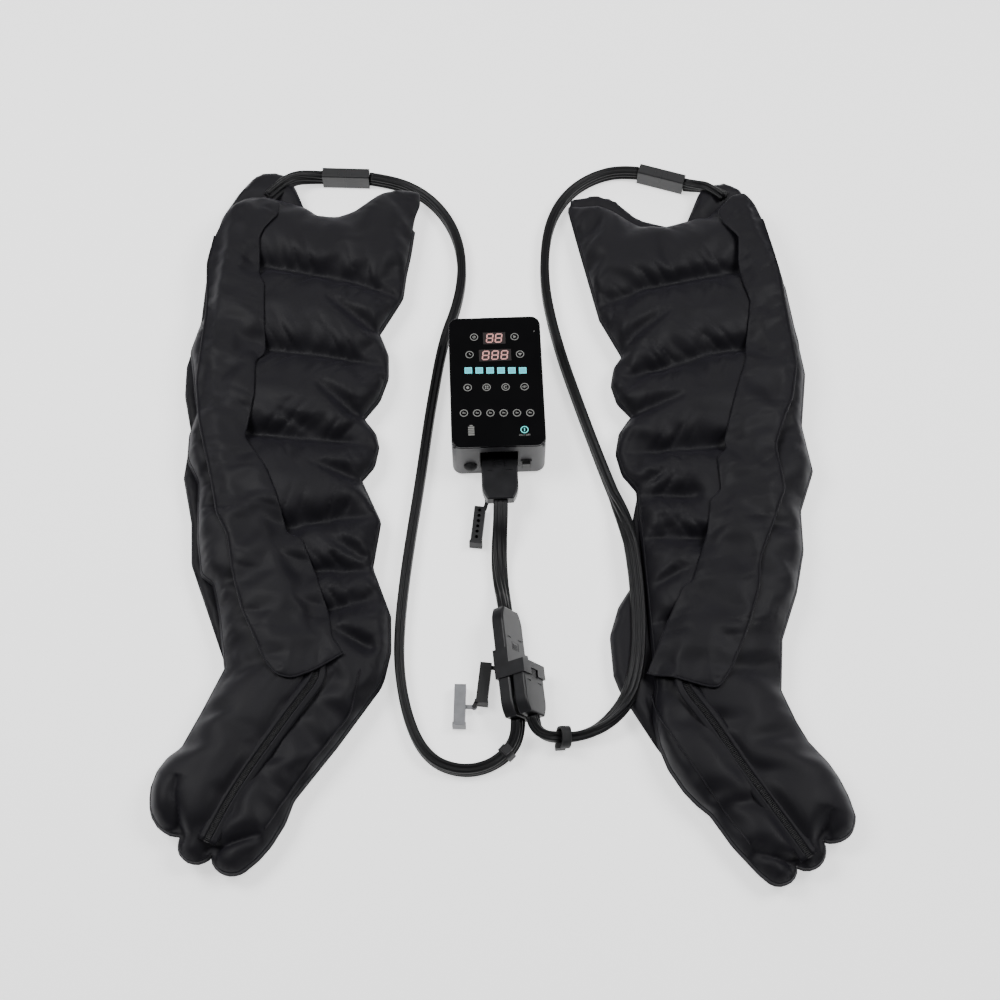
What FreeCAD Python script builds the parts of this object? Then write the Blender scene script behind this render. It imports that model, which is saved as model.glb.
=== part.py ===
"""Compression therapy set: a table-top air pump, its six-way hoses and two quilted leg sleeves.

All sizes are in millimetres. The origin is the centre of the pump's footprint on the floor,
+Y runs along the pump away from its socket end, and +Z is up.
"""
import FreeCAD, Part
import Sketcher
import math
import os
import re

V = FreeCAD.Vector

SIZES = {
    # pump case
    "pump_width": 124, "pump_length": 198, "pump_height": 80, "case_corner": 13,
    "case_wall": 2.5, "rim_height": 10, "foot_height": 2.5, "bottom_round": 3,
    "panel_thickness": 3, "panel_margin": 0.6, "deck_thickness": 2.5,
    "rim_side": 20, "rim_end": 16, "lip_depth": 3, "lip_thickness": 1.4, "fit_gap": 0.2,
    "foot_radius": 6, "foot_recess": 0.8, "foot_inset_x": 14, "foot_inset_y": 16,
    "boss_radius": 4, "boss_inset_x": 10.5, "boss_inset_y": 40, "boss_top": 12,
    "screw_radius": 1.5, "screw_head_radius": 2.8, "screw_head_height": 1.6, "screw_length": 18,
    "vent_length": 24, "vent_width": 2.2, "vent_pitch": 6, "vent_count": 8, "vent_place_y": 50,
    # socket end
    "socket_width": 54, "socket_low": 22, "socket_drop": 13, "socket_depth": 23, "socket_wall": 1.8,
    "port_count": 6, "port_pitch": 7, "port_level": 33, "port_radius": 2.2, "port_bore": 1.3,
    "port_length": 17, "jack_place_x": -38, "jack_level": 27, "jack_radius": 6.8,
    "jack_flange_radius": 9, "jack_flange_thickness": 2, "jack_length": 14, "jack_bore": 2.9,
    "jack_pin_radius": 1, "cap_radius": 8.6, "cap_dome": 5.2, "cap_hinge_drop": 10.4,
    "rocker_place_x": 36, "rocker_level": 29.5, "bezel_width": 15, "bezel_height": 21,
    "bezel_thickness": 2, "bezel_wall": 1.5, "bezel_depth": 13, "rocker_angle": 11,
    "rocker_half_height": 8.2, "rocker_nose": 2.4, "rocker_back": 4.2,
    # inside the pump
    "board_side_gap": 16, "board_end_gap": 26, "board_thickness": 1.6, "board_drop": 16,
    "post_radius": 1.8, "display_width": 24, "display_length": 12, "display_inset": 33,
    "second_display_width": 32, "second_display_inset": 60, "display_gap": 0.4,
    "zone_count": 6, "zone_pitch": 14.5, "zone_width": 10.6, "zone_length": 8, "zone_inset": 83.5,
    "zone_height": 5, "motor_radius": 13, "motor_length": 38, "compressor_place_x": 26,
    "compressor_place_y": 34, "compressor_level": 27, "crank_box_width": 36, "crank_box_height": 36,
    "crank_box_length": 26, "crank_box_wall": 3, "head_gap": 7, "head_width": 30,
    "shaft_radius": 2, "eccentric_radius": 8, "eccentric_offset": 2.5, "eccentric_thickness": 7,
    "shaft_clearance": 0.08, "manifold_length": 50, "manifold_depth": 16, "manifold_height": 12,
    "manifold_back": 43, "valve_radius": 3.1, "valve_height": 16, "tube_wall": 0.9,
    "cell_count": 3, "cell_radius": 9.2, "cell_length": 66, "battery_side_gap": 1.3,
    "battery_end_gap": 3, "battery_wrap": 0.6,
    # plugs on the six-way hoses
    "plug_width": 48, "plug_length": 58, "plug_thickness": 17, "plug_side": 33, "plug_end_width": 34,
    "plug_end_radius": 36, "plug_edge_round": 2.2, "nose_width": 44, "nose_thickness": 9,
    "nose_length": 7, "nose_bore": 2.35, "plug_insert": 2, "latch_width": 14, "latch_length": 12,
    "latch_thickness": 2, "latch_gap": 1, "latch_pocket": 3.2,
    "slot_width": 8, "slot_length": 1.8, "slot_place_x": 13, "slot_place_y": 17, "slot_depth": 1,
    "rib_count": 5, "rib_pitch": 2.2, "rib_width": 1, "rib_height": 0.6,
    # hoses
    "hose_diameter": 16, "strap_thickness": 2, "strap_clearance": 0.8, "strap_width": 10,
    "clip_width": 10, "clip_height": 4,
    # hub where the main hose splits in two
    "hub_x": 6, "hub_y": -392, "hub_yaw": 4, "hub_roll": 58, "hub_half_width": 26,
    "hub_half_thickness": 10.5, "hub_pitch": 21, "hub_collar": 26, "hub_body": 12,
    "hub_shoulder": 6, "leg_plug_seat": 9, "hub_floor_gap": 0.2,
    # stoppers that seal unused ports
    "stopper_length": 54, "stopper_width": 17, "stopper_height": 18, "stopper_lip": 1.2,
    "stopper_lip_length": 4, "stopper_bore": 2.3, "stopper_bore_depth": 9, "tether_width": 5,
    "tether_thickness": 2.2, "tether_level": 10, "pin_radius": 1.6, "pin_clearance": 0.1,
    "pin_head_height": 1.6, "eyelet_radius": 3.8,
    # couplings between hose and sleeve
    "coupling_length": 68, "coupling_width": 17, "coupling_height": 28, "coupling_round": 2.5,
    "coupling_step": 1.2,
    # leg sleeves
    "back_thickness": 20, "leg_gap": 10, "front_thickness": 24, "flap_thickness": 12,
    "seam_thickness": 4, "seam_width": 6, "shoulder_height": 14,
    "zip_tape_width": 26, "zip_tape_thickness": 1.2, "zip_teeth_width": 6, "zip_teeth_height": 2.6,
    "zip_tunnel_width": 30, "zip_tunnel_height": 8.4, "slider_width": 10, "slider_length": 13,
    "slider_wall": 1.2, "slider_clearance": 0.3, "pull_length": 24, "pull_width": 7,
    "pull_thickness": 1.6,
}

# sizes that follow from the ones above
DERIVED = {
    "case_split": "pump_height - rim_height",
    "window_width": "pump_width - 2*rim_side",
    "window_length": "pump_length - 2*rim_end",
    "socket_high": "pump_height - socket_drop",
    "board_width": "pump_width - 2*board_side_gap",
    "board_length": "pump_length - 2*board_end_gap",
    "board_level": "pump_height - board_drop",
    "display_place_y": "pump_length/2 - display_inset",
    "second_display_place_y": "pump_length/2 - second_display_inset",
    "zone_place_y": "pump_length/2 - zone_inset",
    "head_height": "board_level - head_gap - compressor_level - crank_box_height/2",
    "battery_place_x": "case_wall + battery_side_gap + battery_wrap + cell_count*cell_radius"
                       " - pump_width/2",
    "battery_place_y": "pump_length/2 - boss_inset_y - boss_radius - battery_end_gap"
                       " - cell_length/2",
}

doc = FreeCAD.newDocument("CompressionTherapyPump")
sheet = doc.addObject("Spreadsheet::Sheet", "Sizes")
cells = list(SIZES.items()) + [(alias, "=" + text) for alias, text in DERIVED.items()]
for row, (alias, number) in enumerate(cells, start=1):
    sheet.set("A%d" % row, alias)
    sheet.set("B%d" % row, str(number))
    sheet.setAlias("B%d" % row, alias)
doc.recompute()


def size(alias):
    """The number in the sheet's cell."""
    return float(sheet.get(alias))


def formula(text):
    """A property's expression, with each size's name looked up in the sheet."""
    return re.sub(r"[a-z][a-z_]+", lambda word: sheet_name(word.group(0)), str(text))


def sheet_name(word):
    """The sheet's reference for a size, and any other word as it is."""
    return "Sizes." + word if word in SIZES or word in DERIVED else word


def bind(made, **bound):
    """Bind properties such as Length, and the place x, y, z, to formulas of sizes."""
    places = {"x": ".Placement.Base.x", "y": ".Placement.Base.y", "z": ".Placement.Base.z"}
    for name, text in bound.items():
        made.setExpression(places.get(name, name), formula(text))
    return made


def box(name, length, width, height, x, y, z):
    """A box centred on x and y, standing on z."""
    made = doc.addObject("Part::Box", name)
    return bind(made, Length=length, Width=width, Height=height, z=z,
                x="(%s) - (%s)/2" % (x, length), y="(%s) - (%s)/2" % (y, width))


AXES = {"x": FreeCAD.Rotation(V(0, 1, 0), 90), "y": FreeCAD.Rotation(V(1, 0, 0), -90),
        "z": FreeCAD.Rotation()}


def cylinder(name, radius, height, x, y, z, axis="z"):
    """A cylinder that starts at x, y, z and runs along +axis."""
    made = doc.addObject("Part::Cylinder", name)
    made.Placement = FreeCAD.Placement(V(), AXES[axis])
    return bind(made, Radius=radius, Height=height, x=x, y=y, z=z)


def fuse(name, *pieces):
    """One solid from several that touch or overlap."""
    made = doc.addObject("Part::MultiFuse", name)
    made.Shapes = list(pieces)
    made.Refine = True
    return made


def cut(name, base, *tools):
    """The base less every tool."""
    made = doc.addObject("Part::Cut", name)
    made.Base = base
    made.Tool = tools[0] if len(tools) == 1 else fuse(name + "_tools", *tools)
    made.Refine = True
    return made


def new_body(name):
    return doc.addObject("PartDesign::Body", name)


def sketch_on(body, name, x=0, y=0, z=0):
    """An empty sketch on the body's XY plane, moved to x, y, z."""
    sketch = body.newObject("Sketcher::SketchObject", name)
    plane = [item for item in body.Origin.OriginFeatures if item.Role == "XY_Plane"][0]
    sketch.AttachmentSupport = [(plane, "")]
    sketch.MapMode = "FlatFace"
    for axis, text in (("x", x), ("y", y), ("z", z)):
        sketch.setExpression(".AttachmentOffset.Base." + axis, formula(text))
    return sketch


def constrain(sketch, kind, *where, bound=None):
    """Add one constraint, and bind its value to a formula where it has one."""
    index = sketch.addConstraint(Sketcher.Constraint(kind, *where))
    if bound is not None:
        sketch.setExpression("Constraints[%d]" % index, formula(bound))


def rounded_rectangle(sketch, width, length, radius):
    """A centred rectangle with arcs at its corners, its sizes bound to formulas."""
    start = 10.0
    corner = 2.0
    half = start / 2
    corners = [(1, 1, 0), (-1, 1, 90), (-1, -1, 180), (1, -1, 270)]
    for side_x, side_y, angle in corners:
        centre = V(side_x * (half - corner), side_y * (half - corner), 0)
        circle = Part.Circle(centre, V(0, 0, 1), corner)
        sketch.addGeometry(Part.ArcOfCircle(circle, math.radians(angle), math.radians(angle + 90)))
    inner = half - corner
    lines = [((inner, half), (-inner, half)), ((-half, inner), (-half, -inner)),
             ((-inner, -half), (inner, -half)), ((half, -inner), (half, inner))]
    for first, last in lines:
        sketch.addGeometry(Part.LineSegment(V(*first, 0), V(*last, 0)))
    for number in range(4):
        line = 4 + number
        constrain(sketch, "Tangent", number, 2, line, 1)
        constrain(sketch, "Tangent", line, 2, (number + 1) % 4, 1)
        constrain(sketch, "Horizontal" if number % 2 == 0 else "Vertical", line)
    for number in (1, 2, 3):
        constrain(sketch, "Equal", 0, number)
    constrain(sketch, "Symmetric", 0, 3, 2, 3, -1, 1)
    constrain(sketch, "Radius", 0, corner, bound=radius)
    constrain(sketch, "DistanceX", 1, 3, 0, 3, start - 2 * corner,
              bound="(%s) - 2*(%s)" % (width, radius))
    constrain(sketch, "DistanceY", 3, 3, 0, 3, start - 2 * corner,
              bound="(%s) - 2*(%s)" % (length, radius))


def rounded_block(name, width, length, height, radius, x=0, y=0, z=0):
    """A body padded up from a rounded rectangle."""
    body = new_body(name)
    sketch = sketch_on(body, name + "_outline", x, y, z)
    rounded_rectangle(sketch, width, length, radius)
    pad = body.newObject("PartDesign::Pad", name + "_pad")
    pad.Profile = sketch
    pad.setExpression("Length", formula(height))
    body.Tip = pad
    return body


def round_edges(name, base, radius, chosen):
    """Fillet the edges of base that the test picks, with the sheet's radius."""
    doc.recompute()
    made = doc.addObject("Part::Fillet", name)
    made.Base = base
    made.Edges = [(number, radius, radius)
                  for number, edge in enumerate(base.Shape.Edges, start=1) if chosen(edge)]
    return made


def repeated(name, count, make):
    """A list of the count copies that make(index, name) builds."""
    return [make(index, "%s_%d" % (name, index + 1)) for index in range(int(count))]


def feature(name, shape, placement=None):
    """A sub-part whose shape is worked out here from the sheet's sizes."""
    made = doc.addObject("Part::Feature", name)
    made.Shape = shape
    if placement is not None:
        made.Placement = placement
    return made


sub_parts = {}


def sub_part(name, made):
    """Keep the object as a sub-part, under the name of its file."""
    made.Label = name
    sub_parts[name] = made
    return made


# ---------------------------------------------------------------------------------------------
# Pump case: a tub with a frame over it, screwed together from below, and a glass touch panel
# ---------------------------------------------------------------------------------------------
FRONT = "(-pump_length/2)"
# each stopper's centre, turn about Z in degrees, and the pin its tether turns on
STOPPERS = {
    "stopper_1": ((-31, -180.5), -8.1, (-17, -143)),
    "stopper_2": ((-30.5, -399), -8.5, (-13.5, -379)),
    "stopper_3": ((-61.5, -427), -3.3, (-43.5, -429.3)),
}
# stoppers that lie with their holes to the floor
FACE_DOWN = ("stopper_2", "stopper_3")
CORNERS = [(side_x, side_y) for side_x in (-1, 1) for side_y in (-1, 1)]
FOOT_SPOTS = CORNERS + [(0, 0)]


def foot_place(side_x, side_y):
    return ("%d*(pump_width/2 - foot_inset_x)" % side_x, "%d*(pump_length/2 - foot_inset_y)" % side_y)


def boss_place(side_x, side_y):
    return ("%d*(pump_width/2 - boss_inset_x)" % side_x, "%d*(pump_length/2 - boss_inset_y)" % side_y)


def lower_case():
    outer = rounded_block("case_outer", "pump_width", "pump_length", "case_split - foot_height",
                          "case_corner", z="foot_height")
    low = size("foot_height")
    outer_round = round_edges("case_outer_round", outer, size("bottom_round"),
                              lambda edge: edge.BoundBox.ZMax < low + 0.01)
    inner = rounded_block("case_inner", "pump_width - 2*case_wall", "pump_length - 2*case_wall",
                          "case_split", "case_corner - case_wall", z="foot_height + case_wall")
    tools = [inner]
    tools.append(box("socket_opening", "socket_width", "3*case_wall", "socket_high - socket_low",
                     0, FRONT, "socket_low"))
    tools.append(cylinder("jack_hole", "jack_radius + fit_gap", "2*case_wall", "jack_place_x",
                          FRONT + " - case_wall/2", "jack_level", "y"))
    tools.append(box("rocker_opening", "bezel_width - 2*bezel_wall + 2*fit_gap", "3*case_wall",
                     "bezel_height - 2*bezel_wall + 2*fit_gap", "rocker_place_x", FRONT,
                     "rocker_level - bezel_height/2 + bezel_wall - fit_gap"))
    for number, spot in enumerate(FOOT_SPOTS):
        x, y = foot_place(*spot)
        tools.append(cylinder("foot_recess_%d" % number, "foot_radius + fit_gap", "foot_recess",
                              x, y, "foot_height"))
    tools += repeated("vent", size("vent_count"), lambda index, name: box(
        name, "vent_width", "vent_length", "3*case_wall",
        "(%d - (vent_count - 1)/2)*vent_pitch" % index, "vent_place_y", "foot_height - case_wall"))
    shell = cut("case_shell", outer_round, *tools)
    bosses = []
    holes = []
    for number, spot in enumerate(CORNERS):
        x, y = boss_place(*spot)
        bosses.append(cylinder("boss_%d" % number, "boss_radius",
                               "boss_top - foot_height - case_wall/2", x, y,
                               "foot_height + case_wall/2"))
        holes.append(cylinder("boss_hole_%d" % number, "screw_radius + fit_gap", "case_split",
                              x, y, 0))
        holes.append(cylinder("boss_sink_%d" % number, "screw_head_radius + fit_gap",
                              "screw_head_height + 2*fit_gap", x, y, "foot_height"))
    sub_part("pump_lower_case", cut("pump_lower_case", fuse("case_bossed", shell, *bosses), *holes))


def upper_case():
    deck_low = "pump_height - panel_thickness - deck_thickness"
    frame = rounded_block("frame_outer", "pump_width", "pump_length",
                          "pump_height - panel_thickness - case_split", "case_corner",
                          z="case_split")
    hollow = rounded_block("frame_hollow", "pump_width - 2*case_wall",
                           "pump_length - 2*case_wall", deck_low + " - case_split",
                           "case_corner - case_wall", z="case_split")
    window = rounded_block("frame_window", "window_width", "window_length", "3*deck_thickness",
                           "case_wall", z=deck_low + " - deck_thickness")
    rim = cut("frame_rim", frame, hollow, window)
    lip_outer = rounded_block("lip_outer", "pump_width - 2*case_wall - 2*fit_gap",
                              "pump_length - 2*case_wall - 2*fit_gap",
                              deck_low + " - case_split + lip_depth",
                              "case_corner - case_wall - fit_gap", z="case_split - lip_depth")
    lip_inner = rounded_block("lip_inner", "pump_width - 2*case_wall - 2*fit_gap - 2*lip_thickness",
                              "pump_length - 2*case_wall - 2*fit_gap - 2*lip_thickness",
                              "pump_height", "case_corner - case_wall - fit_gap - lip_thickness",
                              z="case_split - 2*lip_depth")
    bridge = box("lip_bridge", "pump_width - 2*case_wall + 0.5", "pump_length - 2*case_wall + 0.5",
                 deck_low + " - case_split", 0, 0, "case_split")
    ledge_cut = rounded_block("ledge_cut", "pump_width - 2*case_wall - 2*fit_gap - 2*lip_thickness",
                              "pump_length - 2*case_wall - 2*fit_gap - 2*lip_thickness",
                              "pump_height", "case_corner - case_wall - fit_gap - lip_thickness",
                              z="case_split - lip_depth")
    lip = cut("frame_lip", lip_outer, lip_inner)
    ledge = cut("frame_ledge", bridge, ledge_cut)
    posts = []
    pilots = []
    for number, (side_x, side_y) in enumerate(CORNERS):
        posts.append(cylinder("board_post_%d" % number, "post_radius",
                              deck_low + " - board_level - board_thickness + deck_thickness/2",
                              "%d*(window_width/2 + post_radius)" % side_x,
                              "%d*(board_length/2 - 3*post_radius)" % side_y,
                              "board_level + board_thickness"))
        x, y = boss_place(side_x, side_y)
        posts.append(cylinder("screw_column_%d" % number, "boss_radius",
                              deck_low + " + deck_thickness/2 - boss_top - fit_gap", x, y,
                              "boss_top + fit_gap"))
        pilots.append(cylinder("screw_pilot_%d" % number, "screw_radius + fit_gap/4",
                               "screw_length", x, y, "boss_top - fit_gap"))
    sub_part("pump_upper_case", cut("pump_upper_case",
                                    fuse("frame_posted", rim, lip, ledge, *posts), *pilots))


def small_case_parts():
    panel = rounded_block("touch_panel_blank", "pump_width - 2*panel_margin",
                          "pump_length - 2*panel_margin", "panel_thickness",
                          "case_corner - panel_margin", z="pump_height - panel_thickness")
    top = size("pump_height")
    sub_part("touch_panel", round_edges("touch_panel", panel, 0.8,
                                        lambda edge: edge.BoundBox.ZMin > top - 0.01))
    feet = []
    screws = []
    for number, spot in enumerate(FOOT_SPOTS):
        x, y = foot_place(*spot)
        feet.append(cylinder("foot_%d" % number, "foot_radius", "foot_height + foot_recess",
                             x, y, 0))
    for number, spot in enumerate(CORNERS):
        x, y = boss_place(*spot)
        head = cylinder("screw_head_%d" % number, "screw_head_radius", "screw_head_height",
                        x, y, "foot_height + fit_gap")
        shank = cylinder("screw_shank_%d" % number, "screw_radius", "screw_length", x, y,
                         "foot_height + fit_gap")
        drive = box("screw_drive_%d" % number, "0.8", "3.6", "1.6", x, y, "foot_height - 1 + fit_gap")
        screws.append(cut("screw_%d" % number, fuse("screw_blank_%d" % number, head, shank), drive))
    sub_part("rubber_feet", group("rubber_feet", feet))
    sub_part("case_screws", group("case_screws", screws))


def group(name, pieces):
    """Identical pieces in one file: a compound of separate solids."""
    made = doc.addObject("Part::Compound", name)
    made.Links = list(pieces)
    return made


# ---------------------------------------------------------------------------------------------
# Socket end: six-port air socket, charging jack under a rubber cap, and rocker switch
# ---------------------------------------------------------------------------------------------
def port_x(index):
    return "(%d - (port_count - 1)/2)*port_pitch" % index


def outlet_socket():
    tray = box("socket_tray", "socket_width - 2*fit_gap", "socket_depth",
               "socket_high - socket_low - 2*fit_gap", 0, FRONT + " + socket_depth/2 + fit_gap",
               "socket_low + fit_gap")
    hollow = box("socket_hollow", "socket_width - 2*fit_gap - 2*socket_wall", "socket_depth",
                 "socket_high - socket_low - 2*fit_gap - 2*socket_wall", 0,
                 FRONT + " + socket_depth/2 - socket_wall", "socket_low + fit_gap + socket_wall")
    nipples = repeated("nipple", size("port_count"), lambda index, name: cylinder(
        name, "port_radius", "port_length + socket_wall + 6", port_x(index),
        FRONT + " + socket_depth - socket_wall - port_length", "port_level", "y"))
    bores = repeated("nipple_bore", size("port_count"), lambda index, name: cylinder(
        name, "port_bore", "2*socket_depth", port_x(index), FRONT + " - 1", "port_level", "y"))
    tray_open = cut("socket_shell", tray, hollow)
    sub_part("outlet_socket", cut("outlet_socket", fuse("socket_blank", tray_open, *nipples), *bores))


def charging_jack():
    flange = cylinder("jack_flange", "jack_flange_radius", "jack_flange_thickness", "jack_place_x",
                      FRONT + " - jack_flange_thickness", "jack_level", "y")
    barrel = cylinder("jack_barrel", "jack_radius", "jack_length", "jack_place_x",
                      FRONT + " - jack_flange_thickness/2", "jack_level", "y")
    bore = cylinder("jack_hollow", "jack_bore", "jack_length - 2", "jack_place_x",
                    FRONT + " - jack_flange_thickness - 1", "jack_level", "y")
    pin = cylinder("jack_pin", "jack_pin_radius", "jack_length - 4", "jack_place_x",
                   FRONT, "jack_level", "y")
    shell = cut("jack_shell", fuse("jack_blank", flange, barrel), bore)
    sub_part("dc_jack", fuse("dc_jack", shell, pin))


def jack_cap():
    """Domed rubber cap, turned about its own axis, with a hinge tab below."""
    radius = size("cap_radius")
    dome = size("cap_dome")
    ball = (radius ** 2 + dome ** 2) / (2 * dome)
    top = V(0, 0, dome)
    side = V(radius, 0, 0)
    slope = math.asin(radius / ball) / 2
    middle = V(ball * math.sin(slope), 0, dome - ball * (1 - math.cos(slope)))
    profile = Part.Wire([Part.LineSegment(V(0, 0, 0), side).toShape(),
                         Part.Arc(side, middle, top).toShape(),
                         Part.LineSegment(top, V(0, 0, 0)).toShape()])
    shape = Part.Face(profile).revolve(V(), V(0, 0, 1), 360)
    tab = Part.makeBox(5, size("cap_hinge_drop"), 1.4, V(-2.5, -size("cap_hinge_drop"), 0))
    shape = shape.fuse(tab).removeSplitter()
    turn = FreeCAD.Rotation(V(1, 0, 0), 90)
    place = V(size("jack_place_x"),
              -size("pump_length") / 2 - size("jack_flange_thickness") - size("fit_gap"),
              size("jack_level"))
    sub_part("dc_jack_cap", feature("dc_jack_cap", shape, FreeCAD.Placement(place, turn)))


def rocker_switch():
    rim = rounded_block("bezel_rim", "bezel_width", "bezel_height", "bezel_thickness", 1.5)
    plug = box("bezel_plug", "bezel_width - 2*bezel_wall", "bezel_height - 2*bezel_wall",
               "bezel_depth", 0, 0, "-bezel_depth")
    hollow = box("bezel_hollow", "bezel_width - 3*bezel_wall + 0.6", "bezel_height - 3*bezel_wall + 2.2",
                 "bezel_depth + bezel_thickness", 0, 0, "-bezel_depth + 2*bezel_wall")
    frame = cut("rocker_bezel", fuse("bezel_blank", rim, plug), hollow)
    place = V(size("rocker_place_x"), -size("pump_length") / 2, size("rocker_level"))
    upright = FreeCAD.Rotation(V(1, 0, 0), 90)
    frame.Placement = FreeCAD.Placement(place, upright)
    sub_part("rocker_bezel", frame)
    half = size("rocker_half_height")
    nose = size("rocker_nose")
    rise = nose + half * math.tan(math.radians(size("rocker_angle")))
    back = -size("rocker_back")
    width = size("bezel_width") - 3 * size("bezel_wall") - size("fit_gap")
    side = -width / 2
    profile = Part.makePolygon([V(side, 0, nose), V(side, half, rise), V(side, 0.75 * half, back),
                                V(side, -0.75 * half, back), V(side, -half, rise),
                                V(side, 0, nose)])
    shape = Part.Face(profile).extrude(V(width, 0, 0))
    tilt = FreeCAD.Rotation(V(1, 0, 0), size("rocker_angle"))
    sub_part("power_rocker", feature("power_rocker", shape,
                                     FreeCAD.Placement(place, upright.multiply(tilt))))


# ---------------------------------------------------------------------------------------------
# Inside the pump: board and lamps, compressor, valves and battery
# ---------------------------------------------------------------------------------------------
def electronics():
    sub_part("control_board", rounded_block("control_board", "board_width", "board_length",
                                            "board_thickness", 2, z="board_level"))
    lamp_low = "board_level + board_thickness"
    lamp_height = "pump_height - panel_thickness - board_level - board_thickness - display_gap"
    first = box("display_1", "display_width", "display_length", lamp_height, 0,
                "display_place_y", lamp_low)
    second = box("display_2", "second_display_width", "display_length", lamp_height, 0,
                 "second_display_place_y", lamp_low)
    sub_part("digit_displays", group("digit_displays", [first, second]))
    lamps = repeated("zone_lamp", size("zone_count"), lambda index, name: box(
        name, "zone_width", "zone_length", "zone_height",
        "(%d - (zone_count - 1)/2)*zone_pitch" % index, "zone_place_y", lamp_low))
    sub_part("zone_lamps", group("zone_lamps", lamps))


def compressor():
    """Diaphragm compressor: motor behind an open crank box, with a valve head on top."""
    place = ("compressor_place_x", "compressor_place_y", "compressor_level")
    low = "compressor_level - crank_box_height/2"
    crank_box = box("crank_box", "crank_box_width", "crank_box_length", "crank_box_height",
                    place[0], place[1], low)
    hollow = box("crank_hollow", "crank_box_width - 2*crank_box_wall", "crank_box_length",
                 "crank_box_height - 2*crank_box_wall", place[0],
                 "compressor_place_y - crank_box_wall", low + " + crank_box_wall")
    motor = cylinder("motor_can", "motor_radius", "motor_length", place[0],
                     "compressor_place_y + crank_box_length/2", place[2], "y")
    bush = cylinder("motor_bore", "shaft_radius + shaft_clearance", "motor_length/2 + 5",
                    place[0], "compressor_place_y + crank_box_length/2 - crank_box_wall - 1",
                    place[2], "y")
    foot = box("compressor_foot", "crank_box_width/2", "motor_length",
               "compressor_level - crank_box_height/2 - foot_height - case_wall + motor_radius/2",
               place[0], "compressor_place_y + crank_box_length/2 + motor_length/2 - 2",
               "foot_height + case_wall")
    stand = box("crank_stand", "crank_box_width", "crank_box_length",
                low + " - foot_height - case_wall", place[0], place[1],
                "foot_height + case_wall")
    cut_foot = cut("motor_foot", foot, cylinder("foot_bore", "motor_radius - 0.5",
                                                "2*motor_length", place[0],
                                                "compressor_place_y", place[2], "y"))
    shell = cut("compressor_shell", fuse("compressor_blank", crank_box, motor, stand, cut_foot),
                hollow, bush)
    sub_part("compressor_body", shell)
    head_low = "compressor_level + crank_box_height/2"
    head = rounded_block("head_block", "head_width", "crank_box_length - 2", "head_height", 4,
                         x=place[0], y=place[1], z=head_low)
    outlet = cylinder("head_outlet", "port_radius", "9", "compressor_place_x",
                      "compressor_place_y - crank_box_length/2 - 6", head_low + " + head_height/2",
                      "y")
    outlet_bore = cylinder("head_outlet_bore", "port_bore", "12", "compressor_place_x",
                           "compressor_place_y - crank_box_length/2 - 7",
                           head_low + " + head_height/2", "y")
    sub_part("compressor_head", cut("compressor_head", fuse("head_blank", head, outlet),
                                    outlet_bore))
    shaft = cylinder("crank_shaft", "shaft_radius", "motor_length/2 + crank_box_length/2", place[0],
                     "compressor_place_y - 3", place[2], "y")
    disc = cylinder("crank_disc", "eccentric_radius", "eccentric_thickness",
                    "compressor_place_x + eccentric_offset", "compressor_place_y - 4", place[2],
                    "y")
    sub_part("compressor_eccentric", fuse("compressor_eccentric", shaft, disc))


def air_valves():
    """Manifold with one port and one solenoid valve for each of the six air chambers."""
    back = FRONT + " + manifold_back"
    centre = back + " + manifold_depth/2"
    low = "port_level - manifold_height/2"
    block = box("manifold_block", "manifold_length", "manifold_depth", "manifold_height", 0,
                centre, low)
    legs = [box("manifold_leg_%d" % (side + 1), 4, "manifold_depth",
                low + " - foot_height - case_wall", "%d*(manifold_length/2 - 2)" % side, centre,
                "foot_height + case_wall") for side in (-1, 1)]
    ports = repeated("manifold_port", size("port_count"), lambda index, name: cylinder(
        name, "port_radius", "7", port_x(index), back + " - 6", "port_level", "y"))
    bores = repeated("manifold_bore", size("port_count"), lambda index, name: cylinder(
        name, "port_bore", "manifold_depth", port_x(index), back + " - 7", "port_level", "y"))
    sub_part("valve_manifold", cut("valve_manifold", fuse("manifold_blank", block, *(legs + ports)),
                                   *bores))
    valves = repeated("solenoid", size("port_count"), lambda index, name: cylinder(
        name, "valve_radius", "valve_height", port_x(index), centre, low + " + manifold_height"))
    sub_part("solenoid_valves", group("solenoid_valves", valves))
    start = FRONT + " + socket_depth + fit_gap"
    tubes = []
    for index in range(int(size("port_count"))):
        outer = cylinder("air_tube_outer_%d" % index, "port_radius + tube_wall",
                         "manifold_back - socket_depth - 2*fit_gap", port_x(index), start,
                         "port_level", "y")
        inner = cylinder("air_tube_inner_%d" % index, "port_radius", "manifold_back",
                         port_x(index), start + " - 1", "port_level", "y")
        tubes.append(cut("air_tube_%d" % index, outer, inner))
    sub_part("air_tubes", group("air_tubes", tubes))


def battery():
    """Round cells side by side under a shrink wrap."""
    pitch = "2*cell_radius"
    low = "foot_height + case_wall + cell_radius + battery_wrap"
    cells = repeated("cell", size("cell_count"), lambda index, name: cylinder(
        name, "cell_radius + battery_wrap", "cell_length",
        "battery_place_x + (%d - (cell_count - 1)/2)*%s" % (index, pitch),
        "battery_place_y - cell_length/2", low, "y"))
    web = box("cell_web", "(cell_count - 1)*" + pitch, "cell_length", "2*cell_radius",
              "battery_place_x", "battery_place_y", "foot_height + case_wall + battery_wrap")
    sub_part("battery_pack", fuse("battery_pack", web, *cells))


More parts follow.
